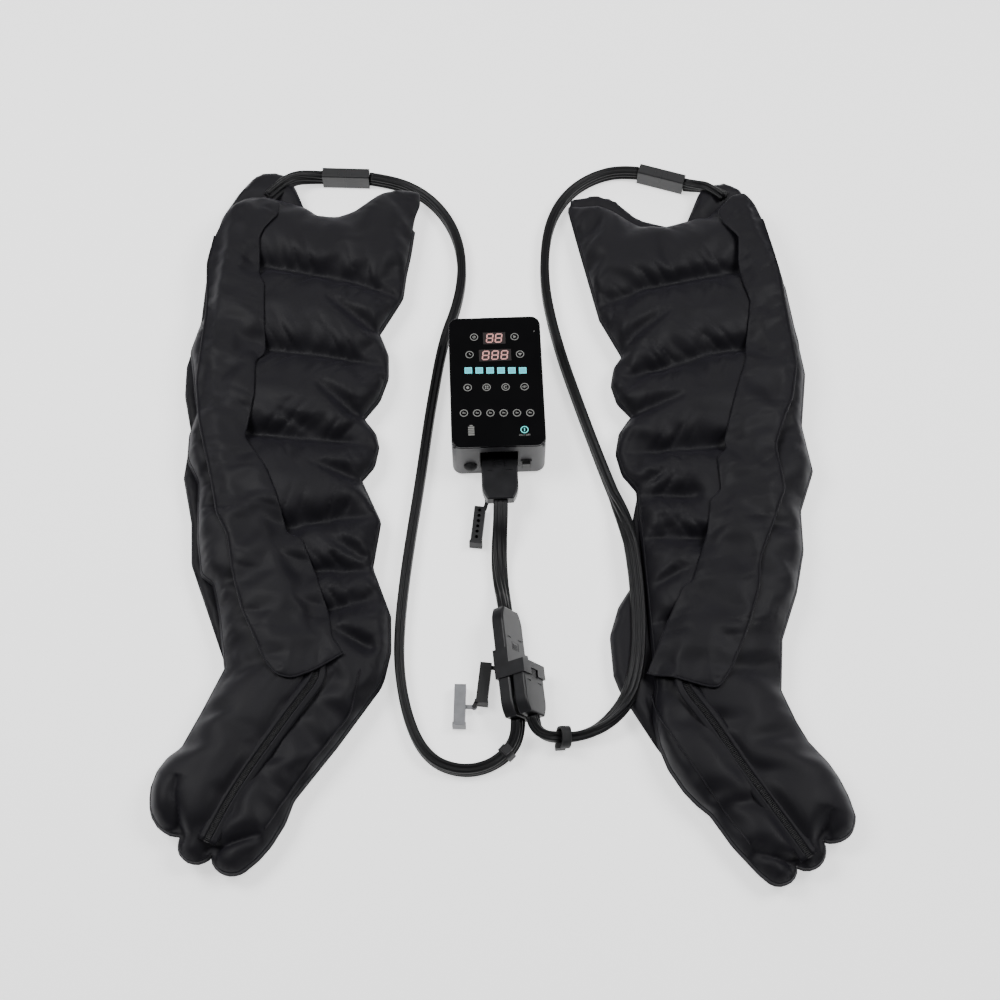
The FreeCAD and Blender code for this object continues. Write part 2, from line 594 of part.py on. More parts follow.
# ---------------------------------------------------------------------------------------------
# Plugs: the same moulded six-port plug ends the main hose twice and each leg hose once
# ---------------------------------------------------------------------------------------------
def plug_outline(sketch):
    """Mouth on y = 0, straight sides, and arcs in to the narrow hose end."""
    half, end, side, total, radius = 5.0, 3.0, 4.0, 8.0, 12.0
    sketch.addGeometry(Part.LineSegment(V(-half, 0, 0), V(half, 0, 0)))
    sketch.addGeometry(Part.LineSegment(V(half, 0, 0), V(half, -side, 0)))
    sketch.addGeometry(Part.Arc(V(half, -side, 0), V(half - 0.6, -side - 2.2, 0),
                                V(end, -total, 0)))
    sketch.addGeometry(Part.LineSegment(V(end, -total, 0), V(-end, -total, 0)))
    sketch.addGeometry(Part.Arc(V(-end, -total, 0), V(-half + 0.6, -side - 2.2, 0),
                                V(-half, -side, 0)))
    sketch.addGeometry(Part.LineSegment(V(-half, -side, 0), V(-half, 0, 0)))
    # an arc always runs counter-clockwise, so its start is the end of the clockwise chain
    joins = [(0, 2, 1, 1), (1, 2, 2, 2), (2, 1, 3, 1), (3, 2, 4, 2), (4, 1, 5, 1), (5, 2, 0, 1)]
    for join in joins:
        constrain(sketch, "Coincident", *join)
    constrain(sketch, "Symmetric", 0, 1, 0, 2, -2)
    constrain(sketch, "Symmetric", 3, 1, 3, 2, -2)
    constrain(sketch, "Vertical", 1)
    constrain(sketch, "Vertical", 5)
    constrain(sketch, "PointOnObject", 0, 1, -1)
    constrain(sketch, "Equal", 1, 5)
    constrain(sketch, "Equal", 2, 4)
    constrain(sketch, "DistanceX", 0, 1, 0, 2, 2 * half, bound="plug_width")
    constrain(sketch, "DistanceY", 1, 2, 1, 1, side, bound="plug_side")
    constrain(sketch, "DistanceX", 3, 2, 3, 1, 2 * end, bound="plug_end_width")
    constrain(sketch, "DistanceY", 3, 1, 0, 2, total, bound="plug_length")
    constrain(sketch, "Radius", 2, radius, bound="plug_end_radius")


def hose_plug(name, placement):
    """Plug body and its latch, in the plug's own frame: mouth at y = 0, hose end towards -Y."""
    body = new_body(name + "_moulding")
    sketch = sketch_on(body, name + "_outline")
    plug_outline(sketch)
    pad = body.newObject("PartDesign::Pad", name + "_pad")
    pad.Profile = sketch
    pad.Midplane = True
    pad.setExpression("Length", formula("plug_thickness"))
    body.Tip = pad
    mouth = -0.01
    rounded = round_edges(name + "_rounded", body, size("plug_edge_round"), lambda edge: (
        abs(edge.CenterOfMass.z) > size("plug_thickness") / 2 - 0.01 and edge.BoundBox.YMin < mouth))
    nose = box(name + "_nose", "nose_width", "nose_length + 1", "nose_thickness", 0,
               "nose_length/2 - 0.5", "-nose_thickness/2")
    bores = repeated(name + "_bore", size("port_count"), lambda index, label: cylinder(
        label, "nose_bore", "nose_length + port_length/2", port_x(index), "-port_length/2", 0, "y"))
    top = "plug_thickness/2"
    pocket = box(name + "_latch_pocket", "latch_width + 2*latch_gap", "latch_length",
                 "latch_pocket", 0, "-latch_length/2", top + " - latch_pocket")
    slots = [box(name + "_slot_%d" % (side + 1), "slot_width", "slot_length", "2*slot_depth",
                 "%d*slot_place_x" % side, "-slot_place_y", top + " - slot_depth")
             for side in (-1, 1)]
    made = cut(name + "_cut", fuse(name + "_blank", rounded, nose), pocket, *(slots + bores))
    made.Placement = placement
    tab = box(name + "_tab", "latch_width", "latch_length - 3*fit_gap", "latch_thickness", 0,
              "-latch_length/2", top + " - latch_thickness")
    ribs = repeated(name + "_rib", size("rib_count") - 1, lambda index, label: box(
        label, "latch_width - 4", "rib_width", "rib_height", 0,
        "-latch_gap - 1 - %d*rib_pitch" % index, top))
    latch = fuse(name + "_latch", tab, *ribs)
    latch.Placement = placement
    sub_part(name + "_latch", latch)
    return made


def hub_placement(along=0.0, level=0.0, turn=FreeCAD.Rotation()):
    """A place in the leaning hub: along its axis, up its stack, and turned there."""
    lean = FreeCAD.Rotation(V(0, 0, 1), size("hub_yaw")).multiply(
        FreeCAD.Rotation(V(0, 1, 0), size("hub_roll")))
    hub = FreeCAD.Placement(V(size("hub_x"), size("hub_y"), hub_height()), lean)
    return hub.multiply(FreeCAD.Placement(V(0, along, level), turn))


def hub_height():
    """The hub rests on the floor on the lower edge of its collar."""
    roll = math.radians(size("hub_roll"))
    return (size("hub_half_width") * math.sin(roll) + size("hub_half_thickness") * math.cos(roll)
            + size("hub_floor_gap"))


def leg_plug_mouth():
    """Where a leg plug's mouth lies along the hub's axis, inside its pocket."""
    return -size("hub_body") + size("leg_plug_seat")


def plugs():
    seat = V(0, -size("pump_length") / 2 + size("plug_insert"), size("port_level"))
    pump_plug = hose_plug("pump_plug", FreeCAD.Placement(seat, FreeCAD.Rotation()))
    sub_part("pump_plug", fuse("pump_plug", pump_plug, tether_pin(
        "pump_plug_pin", "stopper_1", size("port_level") - size("plug_thickness") / 2 + 1)))
    facing_pump = hub_placement(size("hub_collar") + size("fit_gap"), 0,
                                FreeCAD.Rotation(V(0, 0, 1), 180))
    sub_part("hub_plug", hose_plug("hub_plug", facing_pump))
    # the leg plugs lie back to back, so that both latches are on the outside
    latch_out = FreeCAD.Rotation(V(0, 1, 0), 180)
    sub_part("left_leg_plug", hose_plug("left_leg_plug",
                                        hub_placement(leg_plug_mouth(), 0, latch_out)))
    sub_part("right_leg_plug", hose_plug("right_leg_plug",
                                         hub_placement(leg_plug_mouth(), size("hub_pitch"))))


def splitter():
    """Block that feeds both leg plugs from the main hose's plug."""
    inlet = box("splitter_inlet", "2*hub_half_width", "hub_collar - hub_shoulder",
                "2*hub_half_thickness", 0, "(hub_collar + hub_shoulder)/2", "-hub_half_thickness")
    outlets = box("splitter_outlets", "2*hub_half_width", "hub_body + hub_shoulder",
                  "2*hub_half_thickness + hub_pitch", 0, "(hub_shoulder - hub_body)/2",
                  "-hub_half_thickness")
    nose = ("nose_width + 4*fit_gap", "nose_length + 2*fit_gap", "nose_thickness + 4*fit_gap")
    tools = [box("inlet_mouth", nose[0], nose[1], nose[2], 0,
                 "hub_collar + fit_gap - nose_length/2", "-nose_thickness/2 - 2*fit_gap")]
    for level in (0, 1):
        tools.append(box("outlet_pocket_%d" % level, "plug_width + 2*fit_gap",
                         "leg_plug_seat + 1 + fit_gap", "plug_thickness + 2*fit_gap", 0,
                         "-hub_body + (leg_plug_seat + fit_gap - 1)/2",
                         "-plug_thickness/2 - fit_gap + %d*hub_pitch" % level))
        tools.append(box("outlet_mouth_%d" % level, nose[0], nose[1], nose[2], 0,
                         "-hub_body + leg_plug_seat + nose_length/2",
                         "-nose_thickness/2 - 2*fit_gap + %d*hub_pitch" % level))
    outer = ("-hub_half_thickness - 1", "hub_pitch + hub_half_thickness - latch_pocket + 1")
    for level in (0, 1):
        tools.append(box("latch_notch_%d" % level, "latch_width + 2*latch_gap",
                         "latch_length", "latch_pocket", 0,
                         "-hub_body + leg_plug_seat - latch_length/2", outer[level]))
    made = cut("splitter_cut", fuse("splitter_blank", inlet, outlets), *tools)
    made.Placement = hub_placement()
    pin = tether_pin("splitter_pin", "stopper_2", 41)
    sub_part("splitter_block", fuse("splitter_block", made, pin))


# ---------------------------------------------------------------------------------------------
# Hoses: each is six soft tubes side by side, stood for here by one round tube of equal section
# ---------------------------------------------------------------------------------------------
FLOOR_RUN = size("hose_diameter") / 2 + 0.3
OVER_SLEEVE = size("back_thickness") + size("hose_diameter") / 2 + 0.6


def turn_radius(before, point, after):
    """Arc radius that fits 0.45 of the shorter of two runs, and half the angle between them."""
    one = point.sub(before)
    two = after.sub(point)
    half_turn = one.getAngle(two) / 2
    return 0.45 * min(one.Length, two.Length) / math.tan(half_turn), half_turn


def tube_path(route):
    """Straight runs joined by arcs that are tangent to both."""
    edges = []
    radii = []
    start = route[0]
    for before, point, after in zip(route, route[1:], route[2:]):
        radius, half_turn = turn_radius(before, point, after)
        radii.append(radius)
        reach = radius * math.tan(half_turn)
        entry = point.add(before.sub(point).normalize().multiply(reach))
        leave = point.add(after.sub(point).normalize().multiply(reach))
        inward = entry.add(leave).multiply(0.5).sub(point)
        middle = point.add(inward.normalize().multiply(radius / math.cos(half_turn) - radius))
        edges.append(Part.LineSegment(start, entry).toShape())
        edges.append(Part.Arc(entry, middle, leave).toShape())
        start = leave
    edges.append(Part.LineSegment(start, route[-1]).toShape())
    return Part.Wire(edges), radii


def hose(name, route):
    """Sweep the hose's round section along its route, and compare its volume."""
    wire, radii = tube_path(route)
    radius = size("hose_diameter") / 2
    heading = route[1].sub(route[0])
    section = Part.Wire([Part.Circle(route[0], heading, radius).toShape()])
    sweep = wire.makePipeShell([section], True, False)
    ideal = math.pi * radius ** 2 * wire.Length
    diameters = ["%.1f" % (turn / (2 * radius)) for turn in radii]
    print("%s length %.0f mm, volume ratio %.4f, radii in diameters %s"
          % (name, wire.Length, sweep.Volume / ideal, " ".join(diameters)))
    return sub_part(name, feature(name, sweep))


MAIN_HOSE_FLOOR = [(-1, -178, 29), (-3.5, -204, 16), (-5, -232, FLOOR_RUN),
                   (-4, -261, FLOOR_RUN), (-2, -281, 15), (-1, -295, 24)]
LEFT_HOSE_FLOOR = [(10, -470, 23), (-1, -489, 14.5), (-22, -504, 9.6),
                   (-47, -511, FLOOR_RUN), (-72, -508.5, FLOOR_RUN), (-95, -497.5, FLOOR_RUN),
                   (-112, -477, FLOOR_RUN), (-124, -448, FLOOR_RUN), (-133, -409, FLOOR_RUN),
                   (-137.5, -360, FLOOR_RUN), (-134.5, -306, FLOOR_RUN),
                   (-128, -250, FLOOR_RUN), (-119, -190, FLOOR_RUN), (-109, -130, FLOOR_RUN),
                   (-100, -70, FLOOR_RUN), (-91.5, -12, FLOOR_RUN), (-83, 36, FLOOR_RUN),
                   (-75.5, 78, FLOOR_RUN), (-66, 117, FLOOR_RUN), (-53, 152, FLOOR_RUN),
                   (-44, 190, FLOOR_RUN), (-40.5, 229, FLOOR_RUN), (-45, 270, FLOOR_RUN),
                   (-58, 307, FLOOR_RUN), (-78, 338, FLOOR_RUN), (-104, 362, FLOOR_RUN),
                   (-137, 378, 10.5)]
RIGHT_HOSE_FLOOR = [(30.5, -465, 34), (43, -473, 22), (63, -474, 12.5),
                    (88, -472, 9.5), (112, -464, 14), (133, -450, 25), (149, -430, OVER_SLEEVE),
                    (160, -400, OVER_SLEEVE), (167, -360, OVER_SLEEVE),
                    (170, -315, OVER_SLEEVE), (170, -265, OVER_SLEEVE),
                    (167, -219, OVER_SLEEVE), (161, -184, 25), (152, -146, 11),
                    (140, -104, FLOOR_RUN), (124, -46, FLOOR_RUN), (108, 14, FLOOR_RUN),
                    (93, 74, FLOOR_RUN), (81.5, 134, FLOOR_RUN), (75.5, 188, FLOOR_RUN),
                    (77, 240, FLOOR_RUN), (85, 288, FLOOR_RUN), (101, 326, FLOOR_RUN),
                    (126, 357, FLOOR_RUN), (160, 378, FLOOR_RUN), (196, 385, 11)]
LEFT_PIGTAIL = [(-258, 388, 16.5), (-281, 380, 26), (-300, 363, OVER_SLEEVE + 1)]
RIGHT_PIGTAIL = [(303, 349, 19), (321, 339, 29.5)]


def vectors(points):
    return [V(*point) for point in points]


def hose_ends():
    """Where each hose meets its plugs and couplings."""
    length = size("plug_length")
    collar = size("hub_collar") + size("fit_gap") + length
    legs = leg_plug_mouth() - length
    hub = hub_placement()
    return {
        "pump_plug": V(0, -size("pump_length") / 2 + size("plug_insert") - length,
                       size("port_level")),
        "hub_plug": hub.multVec(V(0, collar, 0)),
        "left_leg_plug": hub.multVec(V(0, legs, 0)),
        "right_leg_plug": hub.multVec(V(0, legs, size("hub_pitch"))),
    }


def hoses():
    ends = hose_ends()
    left = coupling_placement("left")
    right = coupling_placement("right")
    half = size("coupling_length") / 2
    hose("main_hose", [ends["pump_plug"]] + vectors(MAIN_HOSE_FLOOR) + [ends["hub_plug"]])
    hose("left_hose", [ends["left_leg_plug"]] + vectors(LEFT_HOSE_FLOOR)
         + [left.multVec(V(half, 0, 0))])
    hose("right_hose", [ends["right_leg_plug"]] + vectors(RIGHT_HOSE_FLOOR)
         + [right.multVec(V(-half, 0, 0))])
    hose("left_pigtail", [left.multVec(V(-half, 0, 0))] + vectors(LEFT_PIGTAIL)
         + [V(-315, 342.5, OVER_SLEEVE + 3)])
    hose("right_pigtail", [right.multVec(V(half, 0, 0))] + vectors(RIGHT_PIGTAIL)
         + [V(341, 320.5, OVER_SLEEVE + 3)])


def strap(name, before, middle, after):
    """Band round a hose at the middle of one of its bends, with a clip on top."""
    wire, radii = tube_path([before, middle, after])
    bend = wire.Edges[1]
    centre = bend.valueAt((bend.FirstParameter + bend.LastParameter) / 2)
    along = after.sub(before).normalize()
    width = size("strap_width")
    inner = size("hose_diameter") / 2 + size("strap_clearance")
    outer = inner + size("strap_thickness")
    start = centre.sub(along.multiply(width / 2))
    run = after.sub(before)
    yaw = FreeCAD.Rotation(V(0, 0, 1), math.degrees(math.atan2(run.y, run.x)))
    clip_width, clip_height = size("clip_width"), size("clip_height")
    clip = Part.makeBox(width, clip_width, clip_height + 3, V(-width / 2, -clip_width / 2, inner - 2))
    clip.Placement = FreeCAD.Placement(centre, yaw)
    band = Part.makeCylinder(outer, width, start, run)
    hollow = Part.makeCylinder(inner, 3 * width, start.sub(run.normalize().multiply(width)), run)
    sub_part(name, feature(name, band.fuse(clip).cut(hollow).removeSplitter()))


# ---------------------------------------------------------------------------------------------
# Couplings between each leg hose and the short hose of its sleeve
# ---------------------------------------------------------------------------------------------
COUPLING_PLACES = {"left": (-206, 386, -4), "right": (254, 367.5, -19.5)}


def coupling_placement(side):
    x, y, angle = COUPLING_PLACES[side]
    return FreeCAD.Placement(V(x, y, size("coupling_height") / 2),
                             FreeCAD.Rotation(V(0, 0, 1), angle))


def coupling(side, hose_side):
    """Two boxes that click together; the hose's half carries a raised step at the joint."""
    for role, direction in (("hose", hose_side), ("sleeve", -hose_side)):
        name = "%s_coupling_%s_half" % (side, role)
        blank = box(name + "_blank", "coupling_length/2 - fit_gap/2", "coupling_width",
                    "coupling_height", "%d*(coupling_length/4 + fit_gap/4)" % direction, 0,
                    "-coupling_height/2")
        far = size("coupling_length") / 2
        rounded = round_edges(name + "_rounded", blank, size("coupling_round"),
                              lambda edge: abs(edge.BoundBox.XLength) > far / 2)
        waist = box(name + "_waist", "coupling_step*2", "coupling_width + 2", "coupling_step",
                    "%d*coupling_length/8" % direction, 0,
                    "coupling_height/2 - coupling_step/2")
        made = cut(name, rounded, waist)
        made.Placement = coupling_placement(side)
        sub_part(name, made)


# ---------------------------------------------------------------------------------------------
# Stoppers: soft caps on tethers, each with a blind hole for every port it seals
# ---------------------------------------------------------------------------------------------
def stopper(name):
    """The stopper's block and, in one piece with it, the tether that ends in an eyelet."""
    centre, turn, pivot = STOPPERS[name]
    length, width, height = size("stopper_length"), size("stopper_width"), size("stopper_height")
    lip, lip_length = size("stopper_lip"), size("stopper_lip_length")
    block = Part.makeBox(width - 2 * lip, length, height - lip,
                         V(-width / 2 + lip, -length / 2, 0))
    rim = Part.makeBox(width, lip_length, height, V(-width / 2, -length / 2, 0))
    shape = block.fuse(rim)
    pitch = (length - lip_length - 4) / size("port_count")
    hole_low = -1 if name in FACE_DOWN else height - lip - size("stopper_bore_depth")
    for index in range(int(size("port_count"))):
        along = -length / 2 + lip_length + 2 + (index + 0.5) * pitch
        hole = Part.makeCylinder(size("stopper_bore"), size("stopper_bore_depth") + 1,
                                 V(0, along, hole_low))
        shape = shape.cut(hole)
    placed = FreeCAD.Placement(V(centre[0], centre[1], 0), FreeCAD.Rotation(V(0, 0, 1), turn))
    shape.transformShape(placed.toMatrix(), True)
    low = size("tether_level")
    thick = size("tether_thickness")
    pin = V(pivot[0], pivot[1], low)
    eyelet = Part.makeCylinder(size("eyelet_radius"), thick, pin)
    tether = flat_link(pin, nearest_inside(placed, pin), size("tether_width"), thick)
    hole = Part.makeCylinder(size("pin_radius") + size("pin_clearance"), 4 * thick,
                             pin.sub(V(0, 0, thick)))
    shape = shape.fuse([eyelet, tether]).cut(hole)
    if name == "stopper_2":
        next_pivot = V(*STOPPERS["stopper_3"][2], low + thick + 1)
        arm = flat_link(next_pivot, nearest_inside(placed, next_pivot), size("tether_width"), thick)
        end = Part.makeCylinder(size("tether_width") / 2, thick, next_pivot)
        shape = shape.fuse([arm, end, tether_pin("stopper_2_pin", "stopper_3",
                                                 next_pivot.z + thick).Shape])
    sub_part(name, feature(name, shape.removeSplitter()))


def nearest_inside(placed, pin):
    """The point of the block, a little inside its edge, that is nearest to the pin."""
    local = placed.inverse().multVec(pin)
    inset = 2.5
    half_width = size("stopper_width") / 2 - inset
    half_length = size("stopper_length") / 2 - inset
    x = max(-half_width, min(half_width, local.x))
    y = max(-half_length, min(half_length, local.y))
    return placed.multVec(V(x, y, local.z))


def flat_link(start, end, width, thickness):
    """A flat bar between two points at one level."""
    run = end.sub(start)
    angle = math.degrees(math.atan2(run.y, run.x))
    bar = Part.makeBox(run.Length, width, thickness, V(0, -width / 2, 0))
    bar.Placement = FreeCAD.Placement(start, FreeCAD.Rotation(V(0, 0, 1), angle))
    return bar


def tether_pin(name, stopper_name, top):
    """Headed pin that a tether's eyelet turns on, hanging from its carrier at the top."""
    x, y = STOPPERS[stopper_name][2]
    head_top = size("tether_level") - size("fit_gap")
    head_low = head_top - size("pin_head_height")
    pin = Part.makeCylinder(size("pin_radius"), top - head_low, V(x, y, head_low))
    head = Part.makeCylinder(size("eyelet_radius") - 0.8, size("pin_head_height"),
                             V(x, y, head_low))
    return feature(name, pin.fuse(head).removeSplitter())


# ---------------------------------------------------------------------------------------------
# Leg sleeves: each is a quilted front and back wall, sewn together round the leg's space
# ---------------------------------------------------------------------------------------------
# Outlines are chains of arcs: corner, point on the arc, corner, and so on round the piece.
LEFT_INNER_EDGE = [(-108, 341), (-114, 262), (-125, 177), (-134, 148), (-160, 110), (-147, 54),
                   (-182, -23), (-162, -71), (-185, -116), (-160, -178), (-171, -242),
                   (-148, -313), (-161, -404)]
LEFT_FOOT = [(-214, -477), (-267, -544), (-290, -594), (-322, -627), (-341, -631), (-361, -606),
             (-380, -616), (-398, -583), (-426, -571), (-437, -542), (-431, -503), (-403, -475),
             (-379, -428), (-353, -373)]
LEFT_OUTER_EDGE = [(-367, -328), (-398, -245), (-408, -206), (-407, -166), (-420, -104),
                   (-413, -33), (-425, 53), (-407, 143), (-403, 223), (-382, 309)]
LEFT_BACK_TOP = [(-358, 352), (-320, 386), (-304, 352), (-268, 333), (-205, 322), (-108, 341)]
LEFT_FRONT_TOP = [(-362, 335), (-325, 341), (-311, 339), (-297, 333), (-245, 303), (-192, 320),
                  (-160, 342), (-108, 341)]
RIGHT_INNER_EDGE = [(116, 311), (128, 242), (145, 156), (155, 105), (177, 61), (159, 18),
                    (183, -33), (160, -104), (182, -144)]
RIGHT_LOBES = [(164, -216), (163, -279), (131, -348), (139, -418)]
RIGHT_LOBES_UNDER_HOSE = [(184, -280), (186, -418)]
RIGHT_FOOT = [(187, -505), (239, -581), (270, -630), (300, -664), (320, -666), (333, -646),
              (350, -650), (367, -616), (398, -613), (410, -588), (399, -548), (365, -496),
              (350, -463), (338, -427)]
RIGHT_OUTER_EDGE = [(342, -381), (373, -294), (388, -238), (391, -181), (414, -123), (407, -55),
                    (421, 26), (409, 176), (396, 262), (373, 314)]
RIGHT_BACK_TOP = [(358, 338), (329, 341), (318, 318), (298, 296), (216, 292), (116, 311)]
RIGHT_FRONT_TOP = [(356, 321), (344, 315), (337, 305), (325, 292), (262, 268), (210, 283),
                   (166, 303), (116, 311)]
LEFT_LEG_SPACE = [(-150, 420), (-172, 110), (-197, -23), (-199, -116), (-186, -242), (-180, -395),
                  (-285, -545), (-345, -592), (-412, -545), (-386, -478), (-340, -375),
                  (-386, -240), (-394, -166), (-399, -33), (-394, 143), (-370, 300), (-360, 420)]
RIGHT_LEG_SPACE = [(160, 420), (190, 61), (197, -33), (196, -144), (199, -280), (200, -418),
                   (254, -575), (312, -630), (384, -590), (352, -490), (324, -420), (358, -294),
                   (376, -181), (396, -110), (394, -20), (402, 60), (385, 250), (348, 300),
                   (330, 420)]
LEFT_FLAP = [(-297, 318), (-320, 262), (-324, 223), (-315, 127), (-330, 2), (-334, -51),
             (-307, -104), (-279, -175), (-252, -238), (-229, -304), (-205, -370), (-240, -388),
             (-279, -399), (-297, -390), (-306, -376), (-327, -300), (-358, -182), (-376, -140),
             (-386, -109), (-404, -40), (-415, 53), (-398, 143), (-393, 223), (-388, 265),
             (-372, 309), (-338, 322)]
RIGHT_FLAP = [(325, 280), (346, 232), (354, 135), (352, 80), (340, 32), (310, -40),
              (293, -97), (293, -156), (267, -198), (248, -240), (237, -281), (205, -345),
              (176, -400), (215, -419), (254, -435), (266, -430), (272, -422), (300, -350),
              (323, -278), (348, -215), (367, -158), (398, -55), (411, 26), (399, 176),
              (386, 262), (378, 288), (363, 308), (345, 298)]
LEFT_ZIP = [(-349, 300), (-363, 170), (-369, 40), (-352, -90), (-308, -225), (-262, -335),
            (-245, -398), (-283, -448), (-329, -514), (-366, -590)]
RIGHT_ZIP = [(352, 285), (378, 170), (381, 40), (352, -95), (300, -215), (237, -350),
             (215, -422), (256, -488), (308, -575), (345, -630)]
# Both sleeves are open at the thigh, where this outline cuts their side seams.
MOUTH = [(-500, 280), (500, 280), (500, 500), (-500, 500)]
# Welds that part one air chamber from the next, drawn past the outline at both ends.
LEFT_WELDS = [[(-450, 240), (-239, 203), (-90, 148)], [(-450, 108), (-238, 72), (-120, 44)],
              [(-450, -26), (-250, -57), (-120, -70)], [(-450, -176), (-209, -175), (-120, -172)],
              [(-450, -246), (-120, -250)], [(-420, -352), (-228, -304), (-100, -270)],
              [(-420, -420), (-245, -398), (-120, -404)],
              [(-245, -398), (-283, -448), (-329, -514), (-366, -590), (-390, -650)]]
RIGHT_WELDS = [[(100, 115), (213, 163), (450, 202)], [(140, 19), (223, 31), (293, 55), (450, 72)],
               [(140, -95), (296, -87), (450, -80)], [(140, -215), (261, -221), (450, -226)],
               [(140, -335), (204, -333), (400, -372)], [(140, -420), (215, -422), (400, -428)],
               [(215, -422), (256, -488), (308, -575), (345, -630), (362, -680)]]
# Share of a chamber's spread that is left at its shoulder and at its crown.
SHOULDER_SHARE = 0.88
CROWN_SHARE = 0.62


def arc_chain(points):
    """A closed outline of arcs, each through the point between two corners."""
    edges = []
    ring = points + [points[0]]
    for first, middle, last in zip(ring[0::2], ring[1::2], ring[2::2]):
        a, b, c = V(*first, 0), V(*middle, 0), V(*last, 0)
        bend = b.sub(a).cross(c.sub(a)).Length
        if bend < 0.02 * c.sub(a).Length ** 2:
            edges.append(Part.LineSegment(a, b).toShape())
            edges.append(Part.LineSegment(b, c).toShape())
        else:
            edges.append(Part.Arc(a, b, c).toShape())
    return Part.Wire(edges)


def polygon(points):
    return Part.makePolygon(vectors([(x, y, 0) for x, y in points + [points[0]]]))


def slab(wire, low, high):
    """A flat solid of the outline, between two levels."""
    solid = Part.Face(wire).extrude(V(0, 0, high - low))
    solid.translate(V(0, 0, low))
    return solid


def strip(points, width, low, high):
    """A flat strip of even width along a chain of points, round at its joints."""
    line = vectors([(x, y, low) for x, y in points])
    pieces = [flat_link(first, last, width, high - low) for first, last in zip(line, line[1:])]
    pieces += [Part.makeCylinder(width / 2, high - low, point) for point in line[1:-1]]
    return pieces[0].multiFuse(pieces[1:]).removeSplitter()


def sleeve_levels():
    back = size("back_thickness")
    front_low = back + size("leg_gap")
    front_high = front_low + size("front_thickness")
    return back, front_low, front_high, front_high + size("flap_thickness")


def corners(wire):
    """A wire's corners in their order, with two more points on each arc."""
    points = []
    for edge in wire.OrderedEdges:
        along = edge.discretize(4 if isinstance(edge.Curve, Part.Circle) else 2)
        points += reversed(along[1:]) if edge.Orientation == "Reversed" else along[:-1]
    return points


def chamber(face, low, high):
    """A blown-up chamber: its seam line, drawn in at the shoulder and again at the crown."""
    seam_line = corners(face.OuterWire)
    middle = face.CenterOfMass
    rings = []
    for share, level in ((1, low), (SHOULDER_SHARE, low + size("shoulder_height")),
                         (CROWN_SHARE, high)):
        ring = [middle.add(point.sub(middle).multiply(share)) for point in seam_line]
        rings.append(Part.makePolygon([V(p.x, p.y, level) for p in ring + ring[:1]]))
    return Part.makeLoft(rings, True, True)


def quilted_wall(outline, welds, zip_line, low, high):
    """A padded wall: a flat sheet, a chamber between each two welds, and a rail for the zip."""
    sheet_high = low + size("seam_thickness")
    lines = [strip(line, size("seam_width"), -1, 1) for line in welds]
    faces = Part.Face(outline).cut(lines).Faces
    pieces = [chamber(face, sheet_high, high) for face in faces]
    rail = strip(zip_line, size("zip_tape_width"), sheet_high, high)
    return slab(outline, low, sheet_high).multiFuse(pieces + [rail]).removeSplitter()


def leg_sleeve(side, back_outline, front_outline, welds, leg_space, flap_outline, zip_line):
    back, front_low, front_high, flap_high = sleeve_levels()
    sub_part(side + "_sleeve_back", feature(side + "_sleeve_back",
                                            slab(arc_chain(back_outline), 0, back)))
    front = quilted_wall(arc_chain(front_outline), welds, zip_line, front_low, front_high)
    sub_part(side + "_sleeve_front", feature(side + "_sleeve_front", front))
    seam = slab(arc_chain(front_outline), back, front_low)
    seam = seam.cut(slab(polygon(leg_space), back - 1, front_low + 1))
    seam = seam.cut(slab(polygon(MOUTH), back - 1, front_low + 1))
    largest = max(seam.Solids, key=lambda solid: solid.Volume)
    sub_part(side + "_sleeve_seam", feature(side + "_sleeve_seam", largest))
    tape_high = front_high + size("zip_tape_thickness")
    teeth_high = front_high + size("zip_teeth_height")
    tape = strip(zip_line, size("zip_tape_width"), front_high, tape_high)
    teeth = strip(zip_line, size("zip_teeth_width"), front_high, teeth_high)
    sub_part(side + "_zipper", feature(side + "_zipper", tape.fuse(teeth).removeSplitter()))
    flap = slab(arc_chain(flap_outline), front_high, flap_high)
    tunnel = strip(zip_line, size("zip_tunnel_width"), front_high - 1,
                   front_high + size("zip_tunnel_height"))
    first, second = V(*zip_line[0], 0), V(*zip_line[1], 0)
    mouth_end = first.add(first.sub(second).normalize().multiply(60))
    open_end = flat_link(V(first.x, first.y, front_high - 1),
                         V(mouth_end.x, mouth_end.y, front_high - 1),
                         size("zip_tunnel_width"), size("zip_tunnel_height") + 1)
    flap = flap.cut(tunnel.fuse(open_end))
    sub_part(side + "_sleeve_flap", feature(side + "_sleeve_flap", flap))
    slider(side, first, second, teeth_high)


def slider(side, first, second, teeth_high):
    """Zip slider that straddles the teeth, with its pull lying along the zip."""
    along = second.sub(first)
    angle = math.degrees(math.atan2(along.y, along.x))
    wall = size("slider_wall")
    gap = size("slider_clearance")
    low = teeth_high + gap
    body = Part.makeBox(size("slider_length"), size("slider_width"), wall,
                        V(4, -size("slider_width") / 2, low))
    bridge = Part.makeBox(6, 2, 1.6, V(7, -1, low + wall))
    pull = Part.makeBox(size("pull_length"), size("pull_width"), size("pull_thickness"),
                        V(8, -size("pull_width") / 2, low + wall + 0.4))
    shape = body.fuse([bridge, pull]).removeSplitter()
    place = FreeCAD.Placement(V(first.x, first.y, 0), FreeCAD.Rotation(V(0, 0, 1), angle))
    sub_part(side + "_zip_slider", feature(side + "_zip_slider", shape, place))


